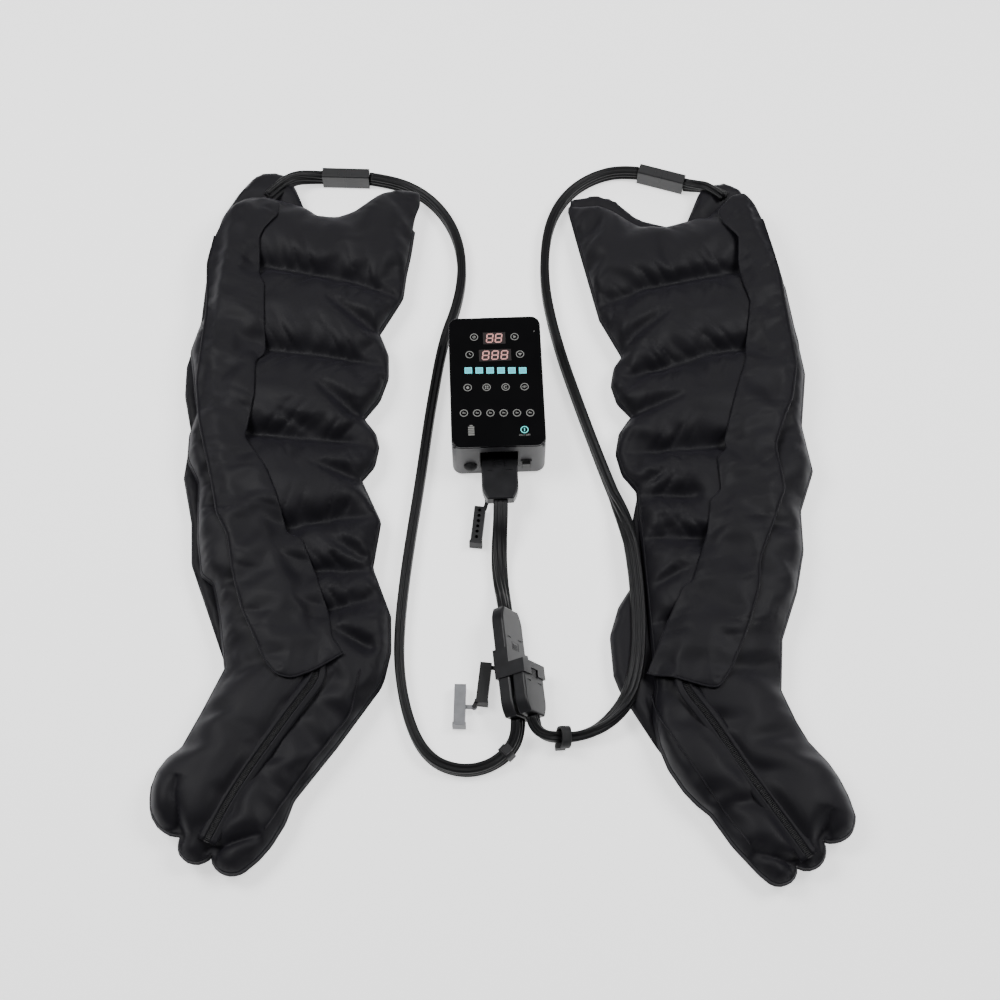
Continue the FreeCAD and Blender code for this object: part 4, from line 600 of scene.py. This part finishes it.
# six zone squares: pale cyan film, brighter round the edge where the lamp's frame reflects
zone_glow = ink("lit_zone_film", "#2fa9b8", 1.0, 0.9)
edge_glow = ink("lit_zone_edge_film", "#5cd0d6", 1.2, 0.95)
squares = []
borders = []
for index in range(6):
    x = -36.8 + index * 14.48
    y = 16.8 - index * 0.52
    squares.append(bar(x, y, 8.2, 7.6))
    borders.append([bar(x, y, 9.8, 9.2), bar(x, y, 8.3, 7.7)])
printed("lit_zone_squares", squares, zone_glow)
printed("lit_zone_edges", borders, edge_glow)

# power sign: a lit ring round an upright bar, and ON / OFF printed under it in the grey ink
# with its faint painted glow
power_glow = ink("lit_power_film", "#52c4c0", 1.1, 0.95)
printed("power_sign", [[ring_of(34.1, -75.1, 5.2), ring_of(34.1, -75.1, 4.1)],
                       bar(34.1, -75.1, 1.2, 4.6)], power_glow)
lettering = bpy.data.curves.new("on_off", "FONT")
lettering.body = "ON / OFF"
lettering.size = 0.0036
lettering.align_x = "CENTER"
lettering.extrude = 0.00006
carrier = bpy.data.objects.new("on_off", lettering)
words = bpy.data.meshes.new_from_object(carrier)
bpy.data.objects.remove(carrier)
bpy.data.curves.remove(lettering)
words.transform(Matrix.Translation((0.0341, -0.0842, 0.08006)))
words.materials.clear()
words.materials.append(glowing_print_ink)
on_off = placed("on_off_lettering", words)
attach(on_off, "therapy_set")

# ---------------------------------------------------------------------------------------------
# Leg sleeves: black nylon taffeta laminated to a film and welded into air chambers. The back and
# front walls are padded sheets, sewn together down both sides and open at the thigh. Both spread
# into a wing on each side of the toes.
# ---------------------------------------------------------------------------------------------
# tightly woven nylon with a soft calendered face: black, with a low silky sheen
taffeta, tree, shader = shader_of("calendered_nylon_taffeta", IOR=1.5, Specular_IOR_Level=0.2,
                                  Sheen_Weight=0.05, Sheen_Roughness=0.5)
shader.inputs["Sheen Tint"].default_value = colour("#b4b0c8")
# creasing and rubbing 25 mm across
wear = noise(tree, 40.0, Detail=4.0)
# threads 0.9 mm apart, three times the real spacing so that they show from near by
place = add(tree, "ShaderNodeTexCoord")
warp, weft = [add(tree, "ShaderNodeTexWave", {"Vector": place.outputs["Object"], "Scale": 175.0},
                  bands_direction=direction) for direction in "XY"]
weave = add(tree, "ShaderNodeMath", {0: warp.outputs["Fac"], 1: weft.outputs["Fac"]},
            operation="MULTIPLY")
weathered(tree, shader, wear, "#0d0c10", "#16151a", (0.5, 0.66), weave.outputs["Value"], 0.1,
          0.0002)

grid_step, fine_step = 0.0062, 0.002
back_top = 0.0195
front_low, front_rim = 0.0300, 0.0322
weld_level = 0.0330
zip_level, toe_zip_level = 0.0530, 0.043
# how high the flap lies over the slider and over the coil
slider_room, coil_room = 0.0622, 0.0575
edge_slack = 0.0045
tape_half = 0.0125
crown = 0.027
# Seams in millimetres. A weld runs from under the flap to the inner edge, where it ends in a
# corner. A dart is a fold from inside a chamber down to the notch between two corners.
sleeves = {
    "left": {
        "welds": [[(-350, 229), (-239, 201), (-197, 190), (-131, 163)],
                  [(-348, 91), (-238, 72), (-156, 54)],
                  [(-345, -43), (-250, -57), (-164, -67)],
                  [(-312, -190), (-209, -175), (-168, -172)],
                  [(-282, -247), (-171, -250)],
                  [(-258, -312), (-228, -304), (-168, -288)]],
        "darts": [[(-225, 156), (-163, 106)], [(-238, 20), (-186, -26)],
                  [(-292, -22), (-250, -48)], [(-246, -98), (-190, -119)],
                  [(-238, -196), (-180, -232)], [(-222, -330), (-172, -356)]],
        "foot_seam": [(-183, -390), (-195, -441), (-226, -482), (-255, -517), (-276, -549),
                      (-297, -583)],
        "zip": [(-349, 300), (-363, 170), (-369, 40), (-352, -90), (-308, -225), (-262, -335),
                (-232, -392), (-270, -442), (-320, -513), (-344, -552), (-366, -596)],
        "toe_folds": [[(-400, -582), (-407, -535), (-402, -515)],
                      [(-361, -604), (-327, -595), (-302, -587)]],
        "outer": ((-382, 309), (-353, -373), [
            (-393, 262), (-397, 226), (-394, 158), (-406, 128), (-416, 92), (-411, 55),
            (-407, 19), (-403, -4), (-412, -39), (-413, -76), (-397, -111), (-395, -189),
            (-388, -243), (-372, -257), (-363, -297), (-356, -349)]),
        "back_top": ((-394, 303), (-108, 341), [
            (-382, 322), (-375, 334), (-360, 361), (-351, 373), (-340, 387), (-329, 393),
            (-310, 394), (-296, 390), (-286, 380), (-277, 360), (-267, 332), (-245, 307),
            (-217, 304), (-193, 313), (-155, 340), (-122, 346)]),
        "front_top": ((-297, 333), (-127, 170), [
            (-283, 331), (-262, 322), (-245, 308), (-217, 305), (-193, 314), (-172, 330),
            (-155, 341), (-122, 348), (-98, 343), (-98, 320), (-105, 302), (-109, 280),
            (-115, 240), (-122, 205)]),
        "flap": [(-295, 314), (-299, 289), (-316, 270), (-323, 256), (-323, 197), (-314, 177),
                 (-312, 72), (-323, 57), (-323, 2), (-335, -59), (-306, -106), (-290, -148),
                 (-277, -198), (-257, -209), (-239, -258), (-222, -313), (-217, -347),
                 (-203, -370), (-240, -390), (-267, -400), (-286, -395), (-301, -374),
                 (-313, -346), (-331, -304), (-345, -251), (-352, -203), (-368, -169),
                 (-377, -120), (-385, -85), (-397, -30), (-404, 30), (-398, 90), (-394, 143),
                 (-396, 190), (-397, 223), (-388, 265), (-372, 298), (-345, 321), (-320, 326)],
        "piped": (17, 36),
    },
    "right": {
        "welds": [[(148, 136), (213, 163), (290, 178), (358, 190)],
                  [(175, 25), (223, 31), (293, 55), (358, 64)],
                  [(176, -94), (296, -87)],
                  [(190, -155), (252, -160)],
                  [(188, -217), (270, -221)],
                  [(192, -335), (222, -333)]],
        "darts": [[(240, 116), (200, 90), (166, 62)], [(246, -18), (186, -35)],
                  [(236, -118), (188, -140)], [(246, -262), (192, -284)]],
        "foot_seam": [(176, -428), (184, -462), (205, -505), (230, -546), (257, -588),
                      (279, -622)],
        "zip": [(352, 285), (378, 170), (381, 40), (352, -95), (300, -215), (237, -350),
                (214, -422), (246, -469), (279, -527), (334, -616), (348, -640)],
        "toe_folds": [[(366, -618), (376, -600), (380, -584)],
                      [(332, -646), (302, -637), (281, -628)]],
        "outer": ((373, 314), (342, -381), [
            (396, 262), (409, 176), (421, 26), (407, -55), (414, -123), (391, -181),
            (388, -238), (373, -294)]),
        "back_top": ((116, 311), (400, 262), [
            (120, 331), (158, 336), (182, 327), (209, 298), (221, 290), (261, 277), (283, 283),
            (305, 333), (312, 343), (327, 350), (347, 351), (365, 341), (378, 314), (385, 291)]),
        "front_top": ((116, 311), (325, 292), [
            (126, 310), (143, 307), (157, 310), (179, 298), (214, 272), (250, 270), (277, 277),
            (300, 284)]),
        "flap": [(323, 277), (329, 254), (347, 229), (344, 191), (346, 155), (353, 124),
                 (344, 71), (337, 31), (316, -28), (298, -86), (300, -99), (285, -114),
                 (286, -161), (272, -172), (263, -220), (237, -289), (225, -294), (202, -339),
                 (173, -402), (215, -419), (245, -430), (258, -432), (275, -408), (302, -353),
                 (322, -297), (326, -263), (355, -196), (369, -163), (367, -133), (364, -99),
                 (381, -56), (395, -27), (407, 26), (403, 100), (398, 176), (386, 262),
                 (378, 288), (363, 305), (345, 299)],
        "piped": (18, 36),
    },
}


def metres(points):
    """Points given in millimetres, in metres."""
    return np.array(points, dtype=float) / 1000


def outline_of(node, facing):
    """A wall's outline from its solid's flat top (1) or underside (-1), counter-clockwise."""
    work = bmesh.new()
    work.from_mesh(nodes[node].data)
    bmesh.ops.remove_doubles(work, verts=work.verts, dist=1e-5)
    level = max(facing * vertex.co.z for vertex in work.verts) - 1e-4
    faces = {face for face in work.faces if facing * face.normal.z > 0.99
             and all(facing * vertex.co.z > level for vertex in face.verts)}
    after = {}
    for face in faces:
        for corner in face.loops:
            if not any(other in faces and other is not face for other in corner.edge.link_faces):
                after[corner.vert.index] = corner.link_loop_next.vert.index
    work.verts.ensure_lookup_table()
    # a set's order changes from run to run, so the walk starts at the point furthest to the left
    first = place = min(after, key=lambda spot: tuple(work.verts[spot].co.xy))
    ring = []
    while not ring or place != first:
        ring.append(tuple(work.verts[place].co.xy))
        place = after[place]
    work.free()
    return np.array(ring)[::int(facing)]


def taut(ring, slack, ankle=-0.40):
    """Pull an outline straight between its corners above the ankle, as tight cloth is."""
    ring = np.vstack([ring, ring[:1]])
    far = int(np.argmax(np.linalg.norm(ring - ring[0], axis=1)))
    kept, spans = {0, far, len(ring) - 1}, [(0, far), (far, len(ring) - 1)]
    while spans:
        first, last = spans.pop()
        if last - first < 2:
            continue
        chord = ring[last] - ring[first]
        offset = ring[first + 1:last] - ring[first]
        away = np.abs(chord[0] * offset[:, 1] - chord[1] * offset[:, 0]) / np.linalg.norm(chord)
        spot = first + 1 + int(np.argmax(away))
        if away.max() > (slack if ring[spot][1] > ankle else 0.0008):
            kept.add(spot)
            spans += [(first, spot), (spot, last)]
    return ring[sorted(kept)][:-1]


def bridged(ring, start, end, between=()):
    """Lead a ring from one point to another over new points instead of the shorter way round."""
    first = int(np.argmin(np.linalg.norm(ring - metres(start), axis=1)))
    last = int(np.argmin(np.linalg.norm(ring - metres(end), axis=1)))
    if (last - first) % len(ring) > (first - last) % len(ring):
        first, last, between = last, first, between[::-1]
    kept = np.roll(ring, -last, axis=0)[:(first - last) % len(ring) + 1]
    return np.vstack([kept, metres(between)]) if len(between) else kept


def evenly(points, step, closed=False):
    """Points along a line or a ring, one step apart."""
    points = np.array(points, dtype=float)
    if closed:
        points = np.vstack([points, points[:1]])
    along = distances(points)
    count = max(2, round(along[-1] / step)) + (0 if closed else 1)
    spots = np.linspace(0, along[-1], count, endpoint=not closed)
    return np.stack([np.interp(spots, along, points[:, axis])
                     for axis in range(points.shape[1])], axis=1)


def smoothed(line, rounds):
    """A line with its corners evened out and its ends kept."""
    for _ in range(rounds):
        line[1:-1] = (line[:-2] + 2 * line[1:-1] + line[2:]) / 4
    return line


def oval(wide, tall):
    """The outline of a thin cord, from its two radii."""
    return np.array([(wide * math.cos(angle), tall * math.sin(angle))
                     for angle in np.linspace(0, 2 * math.pi, 8, endpoint=False)])


def within(points, ring):
    """Which points lie inside a ring."""
    x, y = points[:, 0], points[:, 1]
    inside = np.zeros(len(points), bool)
    for (x1, y1), (x2, y2) in zip(ring, np.roll(ring, -1, axis=0)):
        if y1 != y2:
            inside ^= ((y1 > y) != (y2 > y)) & (x < (x2 - x1) * (y - y1) / (y2 - y1) + x1)
    return inside


def nearest(points, line):
    """Each point's distance to the nearest point of a line, and that point's number."""
    tree = KDTree(len(line))
    for index, spot in enumerate(line):
        tree.insert((spot[0], spot[1], 0), index)
    tree.balance()
    found = [tree.find((x, y, 0)) for x, y in points[:, :2]]
    return np.array([hit[2] for hit in found]), np.array([hit[1] for hit in found])


class Sheet:
    """Fabric cut to an outline: its flat points, edges and triangles, and which are held."""

    def __init__(self, ring, held_lines=()):
        """Each held line is its points, with the level that each is held at."""
        ring = evenly(ring, grid_step, closed=True)
        lines = [evenly(points, grid_step) for points in held_lines]
        low, high = ring.min(axis=0), ring.max(axis=0)
        rows = np.arange(low[1], high[1], grid_step * math.sqrt(0.75))
        lattice = np.array([(x + (grid_step / 2 if number % 2 else 0), y)
                            for number, y in enumerate(rows)
                            for x in np.arange(low[0], high[0], grid_step)])
        lattice = lattice[within(lattice, ring)]
        clear = nearest(lattice, np.vstack([ring] + [points[:, :2] for points in lines]))[0]
        lattice = lattice[clear > grid_step * 0.6]
        spots = [Vector(point) for point in ring]
        joins = [(i, (i + 1) % len(ring)) for i in range(len(ring))]
        levels = {}
        for points in lines:
            first = len(spots)
            spots += [Vector(point[:2]) for point in points]
            joins += [(first + i, first + i + 1) for i in range(len(points) - 1)]
            levels.update({first + i: point[2] for i, point in enumerate(points)})
        spots += [Vector(point) for point in lattice]
        made = geometry.delaunay_2d_cdt(spots, joins, [list(range(len(ring)))], 1, 1e-7)
        self.flat = np.array([tuple(spot) for spot in made[0]])
        self.edges = np.array(made[1])
        self.faces = [tuple(face) for face in made[2]]
        self.rim = np.array([any(i < len(ring) for i in source) for source in made[3]])
        self.level = np.array([next((levels[i] for i in source if i in levels), np.nan)
                               for source in made[3]])
        self.share = np.bincount(self.edges.ravel(), minlength=len(self.flat))

    def around(self, values):
        """Each point's mean over its neighbours."""
        one, two = self.edges.T
        total = (np.bincount(one, values[two], len(values))
                 + np.bincount(two, values[one], len(values)))
        return total / self.share

    def swell(self, held, rounds=900):
        """How far a film held at some points would swell, from 0 to 1."""
        height = np.zeros(len(self.flat))
        for _ in range(rounds):
            height = self.around(height) + 1.0
            height[held] = 0
        return np.sqrt(height / height.max())

    def blown(self, start, held, pressure, slack, stiffness, steps=20):
        """Cloth, cut a little too large and held along its seams, blown up by the air below."""
        mesh = bpy.data.meshes.new("cloth")
        mesh.from_pydata([(x, y, z) for (x, y), z in zip(self.flat, start)], [], self.faces)
        cloth = placed("cloth", mesh)
        pins = cloth.vertex_groups.new(name="seams")
        pins.add([int(i) for i in np.flatnonzero(held)], 1.0, "REPLACE")
        blow = cloth.modifiers.new("cloth", "CLOTH")
        for setting, value in (("quality", 6), ("mass", 0.3), ("tension_stiffness", 15),
                               ("compression_stiffness", 15), ("shear_stiffness", 5),
                               ("bending_stiffness", stiffness), ("use_pressure", True),
                               ("uniform_pressure_force", pressure), ("shrink_min", -slack),
                               ("shrink_max", -slack), ("vertex_group_mass", "seams")):
            setattr(blow.settings, setting, value)
        blow.settings.effector_weights.gravity = 0
        blow.collision_settings.use_collision = False
        blow.point_cache.frame_start = 1
        blow.point_cache.frame_end = steps
        for step in range(1, steps + 1):
            bpy.context.scene.frame_set(step)
        graph = bpy.context.evaluated_depsgraph_get()
        points = np.array([vertex.co for vertex in cloth.evaluated_get(graph).data.vertices])
        bpy.data.objects.remove(cloth)
        bpy.data.meshes.remove(mesh)
        bpy.context.scene.frame_set(1)
        return self.eased(points, held, 2)

    def eased(self, points, held, rounds):
        """Even out the points that are not held."""
        for _ in range(rounds):
            mean = np.stack([self.around(points[:, axis]) for axis in range(3)], axis=1)
            points = np.where(held[:, None], points, (points + mean) / 2)
        return points

    def closed(self, name, top, under):
        """A padded piece from its upper and lower skins, joined round the rim."""
        count = len(self.flat)
        faces = list(self.faces)
        faces += [tuple(count + i for i in reversed(face)) for face in self.faces]
        open_edges = {}
        for face in self.faces:
            for one, two in zip(face, face[1:] + face[:1]):
                if open_edges.pop((two, one), None) is None:
                    open_edges[(one, two)] = True
        faces += [(two, one, count + one, count + two) for one, two in open_edges]
        return mesh_piece(name, np.vstack([top, under]), faces, taffeta)


def pressed(points, line, half_widths, floors, wall):
    """Heights after a valley is pressed into the cloth along a seam."""
    line = evenly(line, fine_step)
    gap, spot = nearest(points, line)
    share = spot / (len(line) - 1)
    floor = floors[0] + (floors[1] - floors[0]) * share
    half = half_widths[0] + (half_widths[1] - half_widths[0]) * share
    return np.minimum(points[:, 2], floor + wall * np.maximum(0, gap - half))


def skin_levels(skin, points, beside):
    """The height of a skin over each point, or another height beside it."""
    levels = []
    for x, y in points[:, :2]:
        spot = skin.ray_cast(Vector((x, y, 0.2)), Vector((0, 0, -1)))[0]
        levels.append(beside if spot is None else spot.z)
    return np.array(levels)


def points_of(piece):
    """The points of a piece's mesh."""
    return np.array([vertex.co for vertex in piece.data.vertices])


def move_points(piece, points):
    """Give the points of a piece's mesh new places."""
    piece.data.vertices.foreach_set("co", points.astype(np.float32).ravel())
    piece.data.update()


def wrinkled(piece, lines, depth, reach, pitch, low):
    """Fold a piece's upper skin finely along its seams. The folds die out away from them."""
    points = points_of(piece)
    upper = np.clip((points[:, 2] - low) / 0.008, 0, 1)
    for number, line in enumerate(lines):
        gap, spot = nearest(points, evenly(line, fine_step))
        along = spot * fine_step + gap * math.sin(1.7 * number + 0.6)
        fold = np.abs(np.sin(math.pi * along / pitch + number)) ** 0.6 - 0.7
        strength = 0.55 + 0.45 * np.sin(along * 2 * math.pi / (3.7 * pitch) + 2.1 * number)
        near = gap / reach * np.exp(1 - gap / reach)
        points[:, 2] += depth * fold * strength * near * upper
    move_points(piece, points)


def creased(piece, line, depth, reach):
    """Push a sharp fold into a piece's upper skin, deepest where the line starts."""
    points = points_of(piece)
    line = evenly(metres(line), fine_step)
    gap, spot = nearest(points, line)
    fade = 1 - spot / (len(line) - 1)
    down = depth * fade ** 0.5 * np.exp(-gap / reach)
    points[:, 2] = np.where(points[:, 2] > weld_level + 0.001,
                            np.maximum(points[:, 2] - down, weld_level), points[:, 2])
    move_points(piece, points)


def finer(piece):
    """Round a piece off with one level of subdivision."""
    smooth = piece.modifiers.new("finer", "SUBSURF")
    smooth.levels = smooth.render_levels = 1
    graph = bpy.context.evaluated_depsgraph_get()
    mesh = bpy.data.meshes.new_from_object(piece.evaluated_get(graph))
    piece.modifiers.remove(smooth)
    piece.data = mesh


# polyester monofilament, wound into a coil: black and slightly shiny
coil = moulded("black_polyester_coil", "#08080a", "#121214", 0.35, 0.5, 1500.0, 0.05, 0.25)

# the tree that lays one coil turn after another across a zip's line
teeth = bpy.data.node_groups.new("coil_teeth", "GeometryNodeTree")
for label, kind in (("Zip line", "Geometry"), ("Tooth pitch", "Float"), ("Tooth length", "Float"),
                    ("Tooth radius", "Float"), ("Finish", "Material")):
    teeth.interface.new_socket(label, in_out="INPUT", socket_type="NodeSocket" + kind)
teeth.interface.new_socket("Teeth", in_out="OUTPUT", socket_type="NodeSocketGeometry")
given = add(teeth, "NodeGroupInput")
path = add(teeth, "GeometryNodeMeshToCurve", {"Mesh": given.outputs["Zip line"]})
spaced = add(teeth, "GeometryNodeResampleCurve",
             {"Curve": path.outputs["Curve"], "Length": given.outputs["Tooth pitch"]},
             mode="LENGTH")
tooth = add(teeth, "GeometryNodeMeshCylinder",
            {"Vertices": 6, "Radius": given.outputs["Tooth radius"],
             "Depth": given.outputs["Tooth length"]})
across = add(teeth, "GeometryNodeTransform", {"Geometry": tooth.outputs["Mesh"],
                                              "Rotation": (math.pi / 2, 0, 0)})
run = add(teeth, "GeometryNodeInputTangent")
turn = add(teeth, "FunctionNodeAlignRotationToVector", {"Vector": run.outputs["Tangent"]},
           axis="X", pivot_axis="Z")
row = add(teeth, "GeometryNodeInstanceOnPoints",
          {"Points": spaced.outputs["Curve"], "Instance": across.outputs["Geometry"],
           "Rotation": turn.outputs["Rotation"]})
real = add(teeth, "GeometryNodeRealizeInstances", {"Geometry": row.outputs["Instances"]})
dressed = add(teeth, "GeometryNodeSetMaterial", {"Geometry": real.outputs["Geometry"],
                                                 "Material": given.outputs["Finish"]})
add(teeth, "NodeGroupOutput", {"Teeth": dressed.outputs["Geometry"]})


def laid_along(name, line, tree, **values):
    """Run a Geometry Nodes tree on a line of points and keep its result as a plain mesh."""
    mesh = bpy.data.meshes.new(name)
    mesh.from_pydata([tuple(p) for p in line], [(i, i + 1) for i in range(len(line) - 1)], [])
    carrier = placed(name, mesh)
    maker = carrier.modifiers.new("maker", "NODES")
    maker.node_group = tree
    for item in tree.interface.items_tree:
        label = item.name.replace(" ", "_")
        if item.in_out == "INPUT" and label in values:
            maker[item.identifier] = values[label]
    graph = bpy.context.evaluated_depsgraph_get()
    made = bpy.data.meshes.new_from_object(carrier.evaluated_get(graph))
    bpy.data.objects.remove(carrier)
    bpy.data.meshes.remove(mesh)
    return placed(name, made)


for side, seams in sleeves.items():
    # front wall: blown up between its welds, then pressed down along welds, darts and zip
    zip_line = metres(seams["zip"])
    zip_line = np.c_[zip_line, np.interp(-zip_line[:, 1], (0.41, 0.64),
                                    (zip_level, toe_zip_level))]
    front_ring = taut(outline_of(side + "_sleeve_front", -1), edge_slack)
    front_ring = bridged(bridged(front_ring, *seams["front_top"]), *seams["outer"])
    welds = [metres(line) for line in seams["welds"]]
    front = Sheet(front_ring, [np.c_[line, np.full(len(line), weld_level)] for line in welds]
                  + [zip_line])
    sewn = ~np.isnan(front.level)
    held = front.rim | sewn
    start = weld_level + 0.017 * front.swell(held)
    start[sewn] = front.level[sewn]
    start[front.rim] = front_rim
    top = front.blown(start, held, pressure=28, slack=0.06, stiffness=40)
    # the air pushes the chambers' shoulders out, so they are flat-topped and steep-sided
    share = np.clip((top[:, 2] - weld_level) / crown, 0, 1)
    top[:, 2] = np.where(share > 0, weld_level + crown * (1 - (1 - share) ** 1.8),
                         top[:, 2]) + np.maximum(0, top[:, 2] - weld_level - crown)
    for line in welds:
        widths = (0.003, 0.0) if side == "left" else (0.0, 0.003)
        top[:, 2] = pressed(top, line, widths, (0.0335, 0.0335), 1.5)
    for line in seams["darts"]:
        top[:, 2] = pressed(top, metres(line), (0.0, 0.001), (0.053, 0.036), 1.2)
    foot_seam = metres(seams["foot_seam"])
    gap, _ = nearest(top, evenly(foot_seam, fine_step))
    top[:, 2] -= 0.002 * np.exp(-(gap / 0.005) ** 2)
    gap, spot = nearest(top, evenly(zip_line, fine_step))
    level = evenly(zip_line, fine_step)[spot, 2]
    # the cloth closes in over the tape's edges in the foot, where no slider runs
    gate = np.interp(-top[:, 1], (0.38, 0.42), (tape_half, 0.0075))
    ceiling = level + 0.0003 + 1.2 * np.maximum(0, gap - gate)
    top[:, 2] = np.minimum(top[:, 2], ceiling)
    top[:, 2] = np.where(gap < gate, np.maximum(top[:, 2], level - 0.0006), top[:, 2])
    top[:, 2] = np.maximum(top[:, 2], front_rim)
    top = front.eased(top, front.rim, 1)
    under = np.c_[front.flat, np.full(len(front.flat), front_low)]
    front_wall = front.closed(side + "_front_wall", top, under)
    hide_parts(side + "_sleeve_front")
    skin = BVHTree.FromPolygons([tuple(p) for p in top], front.faces)

    # back wall: a flatter pad, which swells where nothing lies on it, as in the wings
    back_ring = bridged(taut(outline_of(side + "_sleeve_back", 1), edge_slack), *seams["back_top"])
    back = Sheet(back_ring)
    inward, _ = nearest(back.flat, back.flat[back.rim])
    bulge = np.sqrt(1 - (1 - np.minimum(1, inward / 0.014)) ** 2)
    beyond, _ = nearest(back.flat, evenly(front_ring, 0.004, closed=True))
    beyond = np.where(within(back.flat, front_ring), 0, beyond)
    puff = np.minimum(1, beyond / 0.02) * bulge
    back_high = np.c_[back.flat, back_top + 0.0008 * bulge + 0.009 * puff]
    back_low = np.c_[back.flat, 0.0185 - 0.0181 * bulge]
    back_wall = back.closed(side + "_back_wall", back_high, back_low)
    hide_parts(side + "_sleeve_back")

    # side seam: the two walls' edges turned out and bound, from thigh to toe and up again
    ring = evenly(front_ring, grid_step, closed=True)
    lower = ring[:, 1] < 0.285
    first = int(np.flatnonzero(lower & ~np.roll(lower, 1))[0])
    ring = np.roll(ring, -first, axis=0)[:int(lower.sum())]
    run = np.gradient(ring, axis=0)
    run /= np.linalg.norm(run, axis=1)[:, None]
    outward = np.c_[run[:, 1], -run[:, 0]]
    section = [(-0.0030, 0.0188), (0.0, 0.0182), (0.0009, 0.0205), (0.0014, 0.0225),
               (0.0026, 0.0236), (0.0030, 0.0250), (0.0026, 0.0264), (0.0014, 0.0276),
               (0.0009, 0.0298), (0.0, 0.0320), (-0.0030, 0.0312)]
    points = np.vstack([[(*(spot + away * reach), level) for reach, level in section]
                        for spot, away in zip(ring, outward)])
    side_seam = tube(side + "_side_seam", points, len(section), taffeta)
    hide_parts(side + "_sleeve_seam")

    # flap: two layers with thin padding, draped over the chambers and held up over the slider
    flap_ring = metres(seams["flap"])
    flap = Sheet(flap_ring)
    rest = skin_levels(skin, flap.flat, front_rim) + 0.0012
    from_zip, spot = nearest(flap.flat, evenly(zip_line, fine_step))
    slider_reach = (from_zip < 0.014) & (spot * fine_step < 0.15)
    over_zip = (from_zip < 0.015) & ~slider_reach
    cleared = np.where(slider_reach, slider_room, np.where(over_zip, coil_room, rest))
    cleared = np.maximum(cleared, rest)
    lifted = cleared.copy()
    for _ in range(9):
        lifted = np.maximum(cleared, flap.around(lifted))
    start = lifted + 0.0022
    flap_top = np.c_[flap.flat, start + 0.0022 * flap.swell(flap.rim)]
    flap_top = flap.blown(flap_top[:, 2], flap.rim, pressure=6, slack=0.035,
                          stiffness=18)
    flap_top[:, 2] = np.clip(flap_top[:, 2], start, start + 0.009)
    flap_pad = flap.closed(side + "_zip_flap", flap_top, np.c_[flap.flat, lifted])
    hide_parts(side + "_sleeve_flap")

    # piping: a thin cord in a folded strip, sewn along the flap's outer edge
    edge = evenly(metres(seams["flap"][slice(*seams["piped"])]), 0.004)
    _, spot = nearest(edge, flap.flat[flap.rim])
    level = flap_top[flap.rim][spot, 2] - 0.0004
    piping = swept(side + "_flap_piping", np.c_[smoothed(edge, 3), smoothed(level, 3)],
                   oval(0.0014, 0.0014), taffeta)
    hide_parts(side + "_sleeve_flap")

    # foot seam: a narrow bound edge that stands up along the inner side of the foot
    edge = smoothed(evenly(foot_seam, 0.004), 4)
    level = skin_levels(skin, edge, front_rim) + 0.0004
    foot_binding = swept(side + "_foot_binding", np.c_[edge, level], oval(0.0011, 0.0015),
                         taffeta)
    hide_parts(side + "_sleeve_seam")

    # zip: woven tape, slightly raised beside the coil, with the coil's turns across the middle
    tape_line = smoothed(evenly(zip_line, 0.005), 12)
    tape_line[:, 2] += 0.0012
    tape_section = np.array([(-0.0125, -0.0006), (0.0125, -0.0006), (0.0125, 0.0003),
                             (0.0090, 0.0007), (0.0066, 0.0019), (0.0052, 0.0022),
                             (0.0042, 0.0016), (0.0036, 0.0002), (-0.0036, 0.0002),
                             (-0.0042, 0.0016), (-0.0052, 0.0022), (-0.0066, 0.0019),
                             (-0.0090, 0.0007), (-0.0125, 0.0003)])
    zip_tape = swept(side + "_zip_tape", tape_line, tape_section, taffeta)
    zip_coil = laid_along(side + "_zip_coil", tape_line + [0, 0, 0.0006], teeth,
                          Tooth_pitch=0.0022, Tooth_length=0.0064, Tooth_radius=0.0008,
                          Finish=coil)
    for piece in (zip_tape, zip_coil):
        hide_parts(side + "_zipper")
    finer(front_wall)
    for line in seams["toe_folds"]:
        creased(front_wall, line, 0.016, 0.007)
    wrinkled(front_wall, welds, 0.0042, 0.011, 0.021, weld_level + 0.001)
    wrinkled(front_wall, [metres(line) for line in seams["darts"]], 0.0012, 0.007, 0.014, 0.038)
    wrinkled(front_wall, [front_ring[front_ring[:, 1] > -0.4]], 0.0016, 0.008, 0.016, 0.0335)
    finer(flap_pad)
    wrinkled(flap_pad, [flap_ring], 0.002, 0.01, 0.022, 0.034)
    for piece in (front_wall, back_wall, side_seam, flap_pad, piping, foot_binding, zip_tape,
                  zip_coil):
        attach(piece, "therapy_set")

# ---------------------------------------------------------------------------------------------
# Zip sliders: zinc castings that ride on the teeth, each with a flat pull to grip. They keep out
# of sight under the flaps.
# ---------------------------------------------------------------------------------------------
# die-cast zinc, painted black, in faintly mottled tone and gloss; its rubbed bright edges are not
# drawn
painted_zinc = moulded("painted_zinc_casting", "#1a1a1b", "#2d2d2f", 0.3, 0.45, 700.0, 0.1)
finish(painted_zinc, "left_zip_slider", "right_zip_slider")
